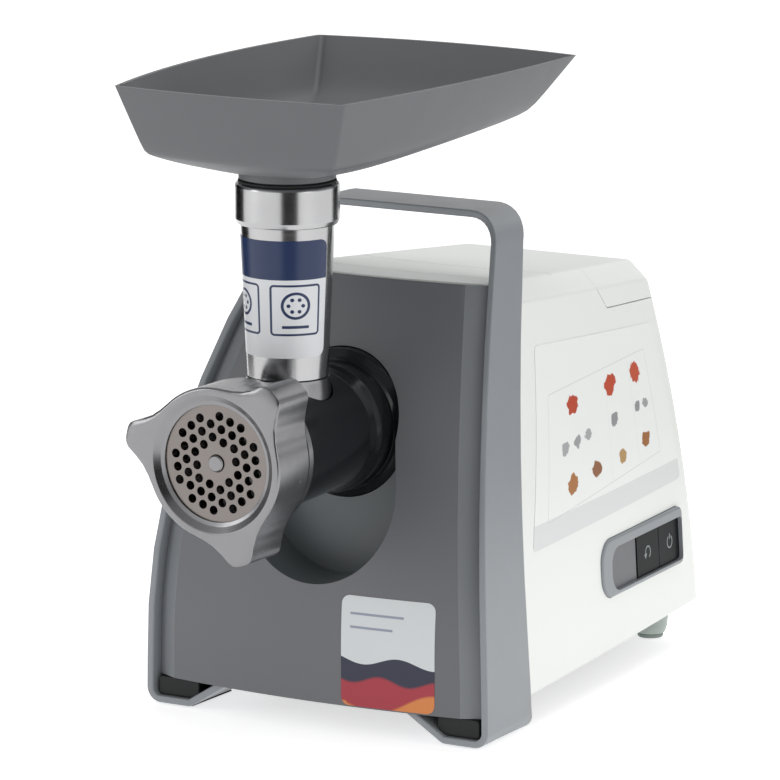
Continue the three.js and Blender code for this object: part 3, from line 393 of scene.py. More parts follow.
def rubbery(name, code):
    finish = Finish(name)
    fine = finish.noise(900, 4)
    dust = finish.noise(45, 5)
    colour = finish.blend(tone(code), tone("#3a3a3a"), (dust - 0.45) * 0.9)
    return finish.surface(Base_Color=colour, Roughness=0.82 + (fine - 0.5) * 0.15,
                          Normal=finish.bump(fine, 0.0001, 0.6))


# %% Metals
def metal(name, code, roughness, stretch, scale, marks, blotch):
    """Bare metal: stretch and scale lay its working marks, marks is their depth, blotch its cloudiness."""
    finish = Finish(name)
    lines = finish.noise(scale, 3, stretch)
    cloudy = finish.noise(55, 4)
    colour = finish.blend(tone(code, 0.9), tone(code, 1.1), cloudy)
    rough = roughness + (cloudy - 0.5) * blotch + (lines - 0.5) * 0.1
    return finish.surface(Base_Color=colour, Roughness=rough, Metallic=1.0,
                          Normal=finish.bump(lines, marks, 0.6))


def laminated(name, code, pitch, axis, depth=0.0001, shine=0.8):
    """Stacked sheets, or turns of wire, seen from the side."""
    finish = Finish(name)
    wave = (finish.parts()[axis] * (2 * math.pi / pitch)).sine()
    colour = finish.blend(tone(code, 0.6), tone(code, 1.15), wave * 0.5 + 0.5)
    return finish.surface(Base_Color=colour, Roughness=0.5 + (finish.noise(300) - 0.5) * 0.2,
                          Metallic=shine, Normal=finish.bump(wave, depth, 0.5))


def circuit(name):
    """A coated board with winding copper tracks."""
    finish = Finish(name)
    _, y, z = finish.parts()
    tracks = ((y * 900).sine() * (z * 1100 + (y * 400).sine() * 2).sine()).inside(0.25, 0.1)
    colour = finish.blend(tone("#14502f"), tone("#2c8a55"), tracks)
    return finish.surface(Base_Color=colour, Roughness=0.4 + tracks * 0.15,
                          Normal=finish.bump(tracks, 0.00005, 0.5))


# %% One finish for each material slot
FINISHES = {
    "panel_grey": moulded("satin_panel_grey", "#66676b", 0.4, drift=0.04),
    "frame_grey": moulded("satin_frame_grey", "#8a8e92", 0.36, drift=0.03),
    "tray_grey": moulded("matte_tray_grey", "#5f6164", 0.46, drift=0.03),
    "white_plastic": moulded("glossy_white", "#e5e8e4", 0.3, drift=0.006, patchy=0.03),
    "black_gloss": moulded("glossy_black", "#1a1c1f", 0.17, grain=0.00001, drift=0.08, patchy=0.05,
                           shine=0.35),
    "dark_plastic": moulded("matte_dark_plastic", "#27292b", 0.55, drift=0.12),
    "pale_plastic": moulded("satin_pale_plastic", "#a8b2ab", 0.4),
    "gear_plastic": moulded("natural_gear_plastic", "#e2ddc8", 0.4),
    "cast_aluminium": metal("satin_cast_aluminium", "#8c8c8e", 0.25, (1, 1, 1), 160, 0.000005, 0.06),
    "polished_steel": metal("polished_tube_steel", "#b4b4b5", 0.2, (1, 1, 14), 120, 0.000006, 0.05),
    "disc_steel": metal("ground_disc_steel", "#847e7b", 0.32, (14, 1, 1), 90, 0.000006, 0.06),
    "tool_steel": metal("satin_tool_steel", "#737477", 0.36, (1, 10, 1), 150, 0.00001, 0.1),
    "rubber": rubbery("matte_rubber", "#1c1c1d"),
    "copper": laminated("enamelled_copper_turns", "#b5703c", 0.0012, 2, shine=0.9),
    "laminations": laminated("stacked_steel_sheets", "#6f7072", 0.0014, 1),
    "carbon": moulded("pressed_carbon", "#2a2a2b", 0.7, grain=0.0001),
    "circuit_board": circuit("coated_circuit_board"),
}
FLOOR_GLOW = 0.62
pale = Finish("pale_studio_floor")
floor.data.materials.append(pale.surface(Base_Color=tone("#ececec"), Roughness=0.9,
                                         Emission_Strength=FLOOR_GLOW, Emission_Color=(1, 1, 1, 1)))
black = moulded("black_card_cloth", "#020202", 0.9, grain=0.0, shine=0.0)
for card in CARDS:
    card.data.materials.append(black)

# %% Studio air: dim all round, with two bright sides and a broad bright back
AIR_DIM = 0.3
LOBES = [((-0.48, -0.84, 0.25), 6, 1.0), ((0.93, -0.24, 0.28), 6, 0.9), ((0.05, 0.9, 0.42), 2, 1.1)]


class Air(Finish):
    """The world's light, built with the same wires as a finish."""

    def __init__(self, name):
        world = bpy.data.worlds.new(name)
        bpy.context.scene.world = world
        world.use_nodes = True
        self.tree = world.node_tree
        self.tree.nodes.clear()


air = Air("studio_air")
light = AIR_DIM
for aim, tightness, power in LOBES:
    facing = air.node("ShaderNodeVectorMath", {"operation": "DOT_PRODUCT"},
                      {0: air.node("ShaderNodeTexCoord", output="Generated"), 1: aim}, output="Value")
    light = light + air.sum("MAXIMUM", facing, 0.0) ** tightness * power
glow = air.node("ShaderNodeBackground", None, {"Strength": light})
air.node("ShaderNodeOutputWorld", None, {"Surface": glow}, output=None)
print("finishes:", len(FINISHES))

# %% [markdown]
# ## Hidden parts keep their design shape
# The motor, gears, bearings and switches are inside. Their design shape is right, so they only get
# their finish. The parts outside are replaced by finer pieces below.

# %% Dress the design's nodes
SLOTS = {part["node"]: part["material_slot"] for part in frame["record"]["subparts"]}
for node, obj in NODES.items():
    obj.data.materials.clear()
    obj.data.materials.append(FINISHES[SLOTS[node]])
print("dressed nodes:", len(SLOTS))


# %% Settling a finished piece
def settle(obj, body, slot, *nodes, angle=32, finish=None):
    """Smooths a piece, gives it its finish and lets it ride on its body."""
    alone(obj)
    bpy.ops.object.shade_smooth_by_angle(angle=math.radians(angle))
    press(obj, "WEIGHTED_NORMAL", keep_sharp=True)
    obj.data.materials.clear()
    obj.data.materials.append(finish or FINISHES[slot])
    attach(obj, body)
    if nodes:
        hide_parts(*nodes)
    print(obj.name, len(obj.data.polygons), "faces")
    return obj


# %% [markdown]
# ## Softened outlines
# Nothing that is moulded, cast or pressed has a knife edge. This helper rounds each corner of an
# outline with a short arc, and the shapes below are drawn with it.

# %% Rounding corners
def soften(points, radius, closed=True, steps=4):
    """The outline with its corners rounded; radius is one number, or one for each corner."""
    points = [Vector(p) for p in points]
    radii = radius if isinstance(radius, list) else [radius] * len(points)
    made = []
    for i, (corner, r) in enumerate(zip(points, radii)):
        at_end = not closed and i in (0, len(points) - 1)
        before = points[i - 1] - corner
        after = points[(i + 1) % len(points)] - corner
        half = before.angle(after) / 2 if not at_end else math.pi / 2
        if r == 0 or at_end or half > math.radians(88):
            made.append(corner)
            continue
        reach = min(r / math.tan(half), before.length * 0.48, after.length * 0.48)
        r = reach * math.tan(half)
        centre = corner + (before.normalized() + after.normalized()).normalized() * (r / math.sin(half))
        start = corner + before.normalized() * reach - centre
        end = corner + after.normalized() * reach - centre
        turn = math.atan2(start.x * end.y - start.y * end.x, start.dot(end))
        for k in range(steps + 1):
            c, s = math.cos(turn * k / steps), math.sin(turn * k / steps)
            made.append(centre + Vector((start.x * c - start.y * s, start.x * s + start.y * c)))
    return made


# %% Skins, turned shapes and prisms
def skin(name, rows, caps=False, closed=False):
    """A grid laid over rows of points; edges that meet are merged, and holes may be capped."""
    clear()
    across, along = len(rows[0]) - 1, len(rows) - 1
    bpy.ops.mesh.primitive_grid_add(x_subdivisions=across, y_subdivisions=along, size=2)
    obj = named(name)
    for point in obj.data.vertices:
        i = round((point.co.x + 1) / 2 * across)
        j = round((point.co.y + 1) / 2 * along)
        point.co = rows[j][i]
    edit(obj, merge, *([close_holes] if caps else []), *([outward] if caps or closed else []))
    return obj


def ring(points):
    """A row that comes back to its start, so that its two ends merge."""
    return [*points, points[0]]


def turned(name, axis, profile, radius=0.0, closed=True, steps=96, centre=None):
    """A profile of (radius, place) points, drawn by extruding a point, and spun a full turn."""
    centre = centre or (0, TUBE_Y if axis == "z" else AXIS_Z)
    shape = soften(profile, radius, closed) if radius else [Vector(p) for p in profile]
    if closed:
        shape = ring(shape)
    if axis == "z":
        path = [row(centre[0] + r, centre[1], h) for r, h in shape]
        pole, line = row(centre[0], centre[1], 0), (0, 0, 1)
    else:
        path = [row(centre[0] + r, h, centre[1]) for r, h in shape]
        pole, line = row(centre[0], 0, centre[1]), (0, 1, 0)
    clear()
    bpy.ops.mesh.primitive_plane_add(size=0.001)
    obj = named(name)
    bpy.ops.object.mode_set(mode="EDIT")
    bpy.ops.mesh.select_mode(type="VERT")
    bpy.ops.mesh.merge(type="CENTER")
    bpy.ops.transform.translate(value=path[0])
    for a, b in zip(path, path[1:]):
        bpy.ops.mesh.extrude_region_move(TRANSFORM_OT_translate={"value": b - a})
    bpy.ops.mesh.select_all(action="SELECT")
    bpy.ops.mesh.spin(steps=steps, angle=2 * math.pi, center=pole, axis=line)
    bpy.ops.mesh.select_all(action="SELECT")
    merge()
    outward()
    bpy.ops.object.mode_set(mode="OBJECT")
    return obj


def prism(name, outline, place, low, high):
    """An outline made from a circle's points, filled and extruded from low to high."""
    clear()
    bpy.ops.mesh.primitive_circle_add(vertices=len(outline), fill_type="NGON")
    obj = named(name)
    for point, (u, v) in zip(obj.data.vertices, outline):
        point.co = place(u, v, low)
    lift = place(0, 0, high) - place(0, 0, low)
    edit(obj, lambda: bpy.ops.mesh.extrude_region_move(TRANSFORM_OT_translate={"value": lift}),
         lambda: bpy.ops.mesh.select_all(action="SELECT"), outward)
    return obj


def cut(obj, outline, place, low, high):
    """Takes a prism out of a piece."""
    return carve(obj, prism("cutter", outline, place, low, high))


def facing_front(u, v, w):
    return row(u, w, v)


def facing_up(u, v, w):
    return row(u, v, w)


def facing_side(u, v, w):
    return row(w, u, v)


def circle(radius, centre=(0.0, 0.0), count=64):
    turns = [2 * math.pi * i / count for i in range(count)]
    return [(centre[0] + radius * math.cos(t), centre[1] + radius * math.sin(t)) for t in turns]


# %% [markdown]
# ## The feed tube and its collar
# The tube is deep-drawn steel: it widens a little towards the top, and a rolled collar there takes
# the tray. Both are round, so their profile is spun about the tube's upright axis. A spin keeps the
# wall even and the edges can be rolled in the profile itself.

# %% Tube, collar and gasket
TUBE_LOW, TUBE_HIGH, TUBE_WALL = 20.3, 23.6, 1.3
TUBE_FOOT, TUBE_TOP = 187.3, 284.0
COLLAR_LOW, COLLAR_HIGH = 264.5, 285.0
tube_profile = [(TUBE_LOW - TUBE_WALL, TUBE_FOOT), (TUBE_LOW, TUBE_FOOT), (TUBE_HIGH, COLLAR_LOW),
                (TUBE_HIGH, TUBE_TOP), (TUBE_HIGH - TUBE_WALL, TUBE_TOP), (TUBE_HIGH - TUBE_WALL, COLLAR_LOW)]
settle(turned("feed_tube_fine", "z", tube_profile, 0.5), "base", "polished_steel", "feed_tube")
collar_profile = [(23.9, COLLAR_LOW), (25.2, COLLAR_LOW), (26.3, 267.2), (26.3, 283.6), (25.7, COLLAR_HIGH),
                  (23.9, COLLAR_HIGH)]
settle(turned("tube_collar_fine", "z", collar_profile, 1.2), "base", "polished_steel", "tube_collar")
GASKET_BORE, GASKET_TOP = 22.0, 286.6
gasket_profile = [(GASKET_BORE, COLLAR_HIGH + GAP), (24.9, COLLAR_HIGH + GAP), (24.6, GASKET_TOP),
                  (GASKET_BORE, GASKET_TOP)]
settle(turned("collar_gasket_fine", "z", gasket_profile, 0.5), "base", "rubber", "collar_gasket")

# %% [markdown]
# ## The casting, its dark sleeve and the socket
# The head is one casting: a barrel for the worm, a flange behind the nut and a seat for the tube.
# The barrel is spun about the drive axis and the seat about the tube's, then they are joined and
# bored, and the bevel gives the join its small cast fillet. A dark sleeve covers the barrel behind
# the flange, and it ends in the collar that plugs into the socket.

# %% Head casting
barrel_profile = [(0, -87.3), (34.6, -87.3), (34.6, -66.5), (38, -66.3), (38, -62.5), (34, -60), (33.3, -58),
                  (27.6, -58), (27.6, 12), (0, 12)]
seat_profile = [(0, AXIS_Z), (22.4, AXIS_Z), (21.6, 180), (20.9, 185), (20.9, 187), (0, 187)]
bore_profile = [(0, -100), (31.3, -100), (31.3, -82.3), (24.6, -82.3), (24.6, 7), (0, 7)]
JOURNAL = 9.1
barrel = turned("head_casting_fine", "y", barrel_profile, closed=False)
carve(barrel, turned("seat", "z", seat_profile, closed=False), "UNION")
carve(barrel, turned("bore", "y", bore_profile, closed=False))
cut(barrel, circle(TUBE_LOW - TUBE_WALL, (0, TUBE_Y)), facing_up, AXIS_Z, 200)
cut(barrel, circle(JOURNAL, (0, AXIS_Z)), facing_front, 0, 30)
soft_edges(barrel, 0.7)
settle(barrel, "base", "cast_aluminium", "head_casting")

# %% Sleeve and socket ring
sleeve_profile = [(27.9, -57.7), (33, -57.7), (31, 4), (32.2, 8.5), (33.6, 11.5), (33.6, 22.6), (31, 23),
                  (31, 31), (28, 31), (28, 18), (17, 18), (17, 12.4), (27.9, 12.4)]
sleeve_radii = [0.2, 1.2, 6, 3, 3.5, 0.6, 0.2, 0.6, 0.2, 0.2, 0.2, 0.2, 0.2]
sleeve = turned("head_sleeve_fine", "y", sleeve_profile, sleeve_radii)
cut(sleeve, circle(22.6, (0, TUBE_Y)), facing_up, AXIS_Z, 210)
soft_edges(sleeve, 0.4, 2, 50)
settle(sleeve, "base", "black_gloss", "head_neck")
socket_profile = [(31.4, 23.4), (33.4, 23.4), (34.6, 25), (38.2, 27.5), (38.2, 33), (31.4, 33)]
settle(turned("socket_ring_fine", "y", socket_profile, 0.6), "base", "black_gloss", "socket_ring")

# %% [markdown]
# ## The ring nut
# Three swept lugs grow out of a round rim, so a hand can grip it. The outside is one formula of the
# angle, and the inside stays round. The section is walked from the bore around the rim, and every
# point knows how much of the lug it follows, so one grid makes the whole casting.

# %% Ring nut
NUT_RADIUS, NUT_LUG, NUT_THREAD, NUT_BACK, NUT_TURN = 38.5, 52.0, 34.95, -66.8, 48.0
LUG_EDGE = [(0, NUT_LUG), (4.2, NUT_LUG), (7.4, 50.8), (11.5, 46.0), (18, 41.6), (26, 39.3), (34, NUT_RADIUS),
            (60, NUT_RADIUS)]


def rim_radius(angle):
    """The nut's outer radius at an angle in degrees, from the points of half a lug."""
    off = abs((angle - NUT_TURN + 60) % 120 - 60)
    for (a, ra), (b, rb) in zip(LUG_EDGE, LUG_EDGE[1:]):
        if off <= b:
            share = (off - a) / (b - a)
            return ra + (rb - ra) * share
    return NUT_RADIUS


def eased_radius(angle):
    """The same, averaged over a few degrees, so that the points leave no corners."""
    spread = (-1.4, -0.7, 0, 0.7, 1.4)
    return sum(rim_radius(angle + s) for s in spread) / len(spread)


nut_section = soften([(29.4, NUT_FRONT + 3.0), (31.4, NUT_FRONT + 2.3), (34.6, NUT_FRONT + 0.1),
                      (35.2, NUT_FRONT), (NUT_RADIUS, NUT_FRONT), (NUT_RADIUS, NUT_BACK),
                      (NUT_THREAD, NUT_BACK), (NUT_THREAD, -92.3), (29.4, -92.3)],
                     [0.3, 2.0, 0.4, 0.3, 1.9, 1.2, 0.6, 0.2, 0.2])
nut_rows = []
for r, y in ring(nut_section):
    share = min(max((r - NUT_THREAD) / (NUT_RADIUS - NUT_THREAD), 0), 1)
    line = []
    for step in range(241):
        angle = step * 1.5
        grown = r + (eased_radius(angle) - NUT_RADIUS) * share
        turn = math.radians(angle)
        line.append(row(grown * math.cos(turn), y, AXIS_Z + grown * math.sin(turn)))
    nut_rows.append(line)
settle(skin("ring_nut_fine", nut_rows, closed=True), "nut", "cast_aluminium", "ring_nut")

# %% [markdown]
# ## The perforated disc
# A ground steel disc with round holes on a triangular lattice and a bearing hole in the middle. The
# holes are one joined cutter, taken out in a single cut, and a fine bevel breaks their edges.

# %% Perforated disc
DISC_FRONT, DISC_THICK, DISC_RADIUS = -92.0, 4.5, 31.0
DISC_BORE, HOLE, PITCH = 4.45, 2.25, 6.6
LATTICE = math.radians(-80.5)


def disc_cutter(radius, spot, sides):
    return prism("cutter", circle(radius, spot, sides), facing_front, DISC_FRONT - 2, DISC_FRONT + 8)


disc = prism("perforated_disc_fine", circle(DISC_RADIUS, (0, AXIS_Z), 96), facing_front, DISC_FRONT,
             DISC_FRONT + DISC_THICK)
cutters = [disc_cutter(DISC_BORE, (0, AXIS_Z), 40)]
for q in range(-4, 5):
    for r in range(-4, 5):
        reach = max(abs(q), abs(r), abs(q + r))
        if reach < 2 or reach > 4 or (reach == 4 and 0 in (q, r, q + r)):
            continue
        x, z = PITCH * (q + r / 2), PITCH * r * math.sin(math.pi / 3)
        spot = (x * math.cos(LATTICE) - z * math.sin(LATTICE),
                AXIS_Z + x * math.sin(LATTICE) + z * math.cos(LATTICE))
        cutters.append(disc_cutter(HOLE, spot, 24))
clear()
for cutter in cutters:
    cutter.select_set(True)
bpy.context.view_layer.objects.active = cutters[0]
bpy.ops.object.join()
carve(disc, cutters[0])
soft_edges(disc, 0.22, 2, 40)
print("holes in the disc:", len(cutters) - 1)
settle(disc, "disc", "disc_steel", "perforated_disc")

# %% [markdown]
# ## The filling tray
# A deep-sided tray with a bowed four-cornered rim, which flows down to a round spout. Each level is
# a ring between the spout's circle and the rim's outline. The corners stay crisp near the rim and
# melt away towards the bottom. The rings run up the outside, down the inside and round the spout,
# so one closed skin makes the tray with its wall, and a bevel rounds the rim's edge.

# %% Filling tray
TRAY_FRONT, TRAY_REAR, TRAY_RIM, TRAY_FLOOR, TRAY_WALL = -80.0, 133.0, 335.0, 291.0, 2.4
TRAY_CORNERS = [(-66.0, TRAY_FRONT), (66.0, TRAY_FRONT), (77.5, TRAY_REAR), (-77.5, TRAY_REAR)]
TRAY_BOWS = [5.0, 6.0, 9.0, 11.0]
SPOUT_NECK, SPOUT_RADIUS, SPOUT_BORE, SPOUT_LOW, SPOUT_SHOULDER = 24.4, 21.6, 19.6, 268.0, 287.4


def rim_outline(inset, corner=2.5, steps=22):
    """The rim seen from above: four bowed edges with small round corners."""
    edge = []
    for k, ((x0, y0), (x1, y1)) in enumerate(zip(TRAY_CORNERS, TRAY_CORNERS[1:] + TRAY_CORNERS[:1])):
        length = math.hypot(x1 - x0, y1 - y0)
        for i in range(steps):
            t = i / steps
            out = TRAY_BOWS[k] * 4 * t * (1 - t) - inset
            edge.append(Vector((x0 + (x1 - x0) * t + (y1 - y0) / length * out,
                                y0 + (y1 - y0) * t - (x1 - x0) / length * out)))
    corners = [0.0] * len(edge)
    for k in range(4):
        corners[k * steps] = corner
    return soften(edge, corners)


def hull_height(share, rise):
    """Share of the depth: a gently curved bottom, a soft corner and then a straight side."""
    corner, low = 0.76 + 0.06 * rise, 0.21 + 0.22 * rise
    bottom = low * (share / corner) ** 1.7
    side = low + (1 - low) * (share - corner) / (1 - corner)
    return (bottom + side + math.sqrt((bottom - side) ** 2 + 0.004)) / 2


def tray_ring(share, inset):
    """One level of the tray; share runs from 0 at the spout to 1 at the rim."""
    points = []
    for rim in rim_outline(inset * share, 2.5 + inset * 4):
        angle = math.atan2(rim.x, TUBE_Y - rim.y)
        neck = SPOUT_NECK - inset
        around = Vector((neck * math.sin(angle), TUBE_Y - neck * math.cos(angle)))
        spot = around + (rim - around) * share
        rise = min(max((spot.y - TRAY_FRONT) / (TRAY_REAR - TRAY_FRONT), 0), 1)
        depth = TRAY_RIM - TRAY_FLOOR
        lift = inset * (1 - share ** 3)
        points.append(row(spot.x, spot.y, TRAY_FLOOR + depth * hull_height(share, rise) + lift))
    return ring(points)


def spout_ring(radius, z):
    points = []
    for rim in rim_outline(0):
        angle = math.atan2(rim.x, TUBE_Y - rim.y)
        points.append(row(radius * math.sin(angle), TUBE_Y - radius * math.cos(angle), z))
    return ring(points)


SHARES = [i / 30 for i in range(31)]
outside = [tray_ring(share, 0) for share in SHARES]
inside = [tray_ring(share, TRAY_WALL) for share in reversed(SHARES)]
spout = [(SPOUT_BORE, TRAY_FLOOR - 0.5), (SPOUT_BORE, SPOUT_LOW), (SPOUT_RADIUS, SPOUT_LOW),
         (SPOUT_RADIUS, SPOUT_SHOULDER), (SPOUT_NECK, SPOUT_SHOULDER)]
bottom = [spout_ring(radius, z) for radius, z in spout]
tray = skin("filling_tray_fine", [*outside, *inside, *bottom, outside[0]], closed=True)
soft_edges(tray, 0.7, 3, 50)
settle(tray, "tray", "tray_grey", "filling_tray", angle=28)

# %% [markdown]
# ## The handle frame
# One thick band makes the feet, the two sides and the carrying handle. Its path is drawn as half an
# outline and mirrored, and a softened rectangle is swept along it. The band leans back with height,
# gets narrower, and toes in towards the rear, so the section is worked out at every point.

# %% Handle frame
def band_path():
    """The band's outer line from the right foot over the handle to the left foot."""
    floor_z = 0.9 + GAP
    top_half = half_width(HANDLE_TOP) + 1
    sides = [(half_width(z), z) for z in range(24, 227, 29)]
    half = [(53, 15), (75, floor_z), (half_width(0) + 0.3, floor_z), *sides, (top_half, HANDLE_TOP),
            (0, HANDLE_TOP)]
    radii = [0, 6, 8, *[40] * len(sides), 23, 0]
    right = soften(half, radii, closed=False, steps=8)
    return [*right[:-1], *[Vector((-p.x, p.y)) for p in reversed(right[:-1])]]


def band_rows(thickness, edge):
    """The band's section at every point of its path."""
    path = band_path()
    rows = []
    for i, p in enumerate(path):
        along = (path[min(i + 1, len(path) - 1)] - path[max(i - 1, 0)]).normalized()
        inward = Vector((-along.y, along.x))
        front = front_edge(min(p.y, HANDLE_TOP))
        depth = 53 - 0.088 * (p.y - 20)
        section = soften([(0, 0), (depth, 0), (depth, thickness), (0, thickness)], edge, steps=3)
        line = []
        for y, offset in section:
            spot = p + inward * (offset + abs(inward.x) * TAPER * y)
            line.append(row(spot.x, front + y, spot.y))
        rows.append(ring(line))
    return rows


band = skin("handle_frame_fine", band_rows(BAND, 1.0), caps=True)
settle(band, "base", "frame_grey", "handle_frame", angle=40)

# %% [markdown]
# ## The front panel
# A bowed cover with a bevel down each side and a round-bottomed recess under the head, so fingers
# can reach the nut. It starts as a solid block whose front is the bowed skin. The recess and the
# two holes are cut, the back is opened, and a solidify leaves a thin moulding. Face by face, the
# recess gets a darker grey as painted shade, and the bevels' front faces a lighter grey as a painted
# highlight.

# %% Front panel
PANEL_SETBACK, PANEL_BULGE, PANEL_BEVEL, PANEL_LOW, PANEL_WALL = 3.0, 9.0, 12.0, 15.3, 2.5


def panel_front(x, z):
    return front_edge(z) + PANEL_SETBACK - PANEL_BULGE * (1 - (x / panel_half(z)) ** 2)


def panel_row(z, count=36):
    """The panel's outline at one height: the bowed front, a bevel each side and a flat back."""
    half = panel_half(z)
    flat = half - PANEL_BEVEL
    side = front_edge(z) + PANEL_SETBACK + PANEL_BEVEL / 3
    rear = max(front_edge(z) + 12, 31.0)
    line = [row(-half, rear, z), row(-half, side, z)]
    line += [row(x, panel_front(x, z), z) for x in [flat * (-1 + 2 * i / count) for i in range(count + 1)]]
    line += [row(half, side, z), row(half, rear, z)]
    return ring(line)


panel = skin("front_panel_fine", [panel_row(PANEL_LOW + 5.4 * i) for i in range(41)], caps=True)
slope = Vector((0, ROOF_SLOPE, 1)).normalized()
edit(panel, lambda: bpy.ops.mesh.bisect(plane_co=row(0, 0, ROOF_HEIGHT), plane_no=slope, use_fill=True,
                                        clear_outer=True))
RECESS_RADIUS, RECESS_Z, RECESS_FLOOR = 44.0, 120.0, 27.0
SOCKET_HOLE, BUTTON_HOLE, BUTTON_AT = 38.6, 9.0, (-33, 193)
arc = [math.pi + math.pi * i / 40 for i in range(41)]
recess = [(RECESS_RADIUS * math.cos(t), RECESS_Z + RECESS_RADIUS * math.sin(t)) for t in arc]
shoulder = [(43.4, 127), (42, 134), (40.3, 142), (38.6, 150), (34, 160), (26, 163)]
recess += [*shoulder, *[(-x, z) for x, z in reversed(shoulder)]]
cut(panel, recess, facing_front, -30, RECESS_FLOOR)
cut(panel, circle(SOCKET_HOLE, (0, AXIS_Z), 96), facing_front, 0, 60)
cut(panel, circle(BUTTON_HOLE, BUTTON_AT, 48), facing_front, 0, 70)
choose(panel, lambda face: face.normal.y > 0.8 or (face.normal.z > 0.9 and face.center.z > 0.206))
bpy.ops.mesh.delete(type="FACE")
leave()
press(panel, "SOLIDIFY", thickness=PANEL_WALL * MM, offset=-1)
soft_edges(panel, 0.8, 3, 40)
settle(panel, "base", "panel_grey", "front_panel", angle=15)
# A darker grey for the recess faces: painted shade in the recess.
panel.data.materials.append(moulded("recess_painted_shade_grey", "#5c6164", 0.4, drift=0.04))
# A lighter grey for the bevels' front faces: a painted highlight on the side strips.
panel.data.materials.append(moulded("bevel_painted_highlight_grey", "#787b7f", 0.36, drift=0.04))
for face in panel.data.polygons:
    x, z = face.center.x / MM, face.center.z / MM
    deep = (face.center.y - ORIGIN_Y) / MM - panel_front(x, z)
    on_bevel = abs(x) > panel_half(z) - PANEL_BEVEL and abs(face.normal.x) > 0.3
    # Faces inside the recess take the painted shade grey; front-facing bevel faces take the painted highlight
    # grey.
    if deep > 0.9 and abs(x) < RECESS_RADIUS + 0.5 and 70 < z < 160:
        face.material_index = 1
    elif on_bevel and face.normal.y < 0:
        face.material_index = 2

# %% [markdown]
# ## The white housing and its lid
# The rear body is one soft shell, open below and in front: two curved sides, a chamfered roof and a
# rear wall that leans forward. Its cross-section is walked from the foot of the right wall over the
# roof to the left one, and the last sections shrink to round the rear corners. The wall is thickened
# inwards, and then the shell is parted along the lid's outline with one cutter.

# %% Shell of the housing
CHAMFER, REAR_ROUND = 10.0, 9.0


def wall_bow(share):
    """The side walls swell a little halfway back."""
    return 6 * share * (1 - share)


def body_section(share, inset):
    """Half a cross-section, from the foot of the right wall to the middle of the roof."""
    points = []
    for i in range(19):
        up = i / 18
        y = body_y(share, 16.5 + up * 190)
        high = top_surface(y) - inset - CHAMFER
        z = underside(y) + (high - underside(y)) * up
        y = body_y(share, z)
        points.append((side_wall(y, z) + wall_bow(share) - inset, y, z))
    x, y, z = points[-1]
    roof = top_surface(y) - inset
    lean = (points[-1][0] - points[-2][0]) / (points[-1][2] - points[-2][2])
    edge = soften([(x - lean * 12, z - 12), (x, roof - CHAMFER), (x - CHAMFER, roof), (x - 40, roof)], 5.0,
                  closed=False, steps=4)
    points = points[:-1] + [(u, body_y(share, v), v) for u, v in edge[1:-1]]
    inner = points[-1][0]
    for i in range(1, 13):
        points.append((inner * (1 - i / 12), body_y(share, roof), roof))
    return [bowed(x, y, z, share) for x, y, z in points]


def body_y(share, z):
    front = front_edge(z) + SHELL_SETBACK
    return front + (rear_wall(z) - REAR_ROUND - front) * share


def bowed(x, y, z, share):
    """In front, the roof reaches forward to follow the panel's bow."""
    forward = 12 * max(1 - (x / panel_half(z)) ** 2, 0) * (1 - share)
    return x, y - forward, z + ROOF_SLOPE * forward


def body_row(share, inset=0.0, further=0.0):
    """A whole cross-section, shrunk by inset and moved further back."""
    half = body_section(share, inset)
    line = [row(x, y + further, z) for x, y, z in half]
    mirror = [row(-x, y + further, z) for x, y, z in reversed(half[:-1])]
    return [*line, *mirror]


rows = [body_row(i / 24) for i in range(25)]
for k in range(1, 7):
    turn = math.radians(15 * k)
    rows.append(body_row(1.0, REAR_ROUND * (1 - math.cos(turn)), REAR_ROUND * math.sin(turn)))
shell = skin("shell", rows)
last_row = {tuple(round(c, 6) for c in point) for point in rows[-1]}


def cap_rear():
    """Selects the last cross-section and closes it with the rear wall."""
    bpy.ops.object.mode_set(mode="OBJECT")
    for face in shell.data.polygons:
        face.select = False
    for edge in shell.data.edges:
        edge.select = False
    for point in shell.data.vertices:
        point.select = tuple(round(c, 6) for c in point.co) in last_row
    bpy.ops.object.mode_set(mode="EDIT")
    bpy.ops.mesh.edge_face_add()


edit(shell, cap_rear, lambda: bpy.ops.mesh.select_all(action="SELECT"), outward)
facing = sum((f.center - row(0, 150, 100)).dot(f.normal) * f.area for f in shell.data.polygons)
if facing < 0:
    edit(shell, lambda: bpy.ops.mesh.flip_normals())
press(shell, "SOLIDIFY", thickness=WALL * MM, offset=-1)
print("shell:", len(shell.data.polygons), "faces, turned out:", facing > 0)

# %% Two shallow seams across the roof
def on_roof(u, v, w):
    return row(u, v, top_surface(v) + w)


for behind in (33.0, 79.0):
    bow = [(x, 54.5 + behind + 9 * (x / 66) ** 2) for x in range(-66, 67, 6)]
    groove = [*[(x, y - 0.4) for x, y in bow], *[(x, y + 0.4) for x, y in reversed(bow)]]
    cut(shell, groove, on_roof, -0.8, 4)
print("shell with its seams:", len(shell.data.polygons), "faces")

# %% Part the lid from the housing
LID_SEAM = 0.5
LID_EDGE = [(178, 260), (178, 206), (186, 194.7), (300, 187.2), (300, 260)]
lid_cut = soften(LID_EDGE, [0, 5, 4, 0, 0], steps=5)
wider = [(y - 0.15 if z > 196 and y < 200 else y, z - LID_SEAM if z < 206 else z) for y, z in lid_cut]
alone(shell)
bpy.ops.object.duplicate()
lid = named("storage_lid_fine")
housing = shell
housing.name = housing.data.name = "main_housing_fine"
carve(lid, prism("lid_block", lid_cut, facing_side, -130, 130), "INTERSECT")
cut(housing, wider, facing_side, -130, 130)
print("lid:", len(lid.data.polygons), "faces, housing:", len(housing.data.polygons), "faces")

# %% [markdown]
# ## Control panel
# A grey bezel with a round front end is let into the right wall, and two dark keys lie in it beside
# a plain grey field. It lives in its own little frame, which follows the wall: u to the rear, v up
# and w out of the wall.

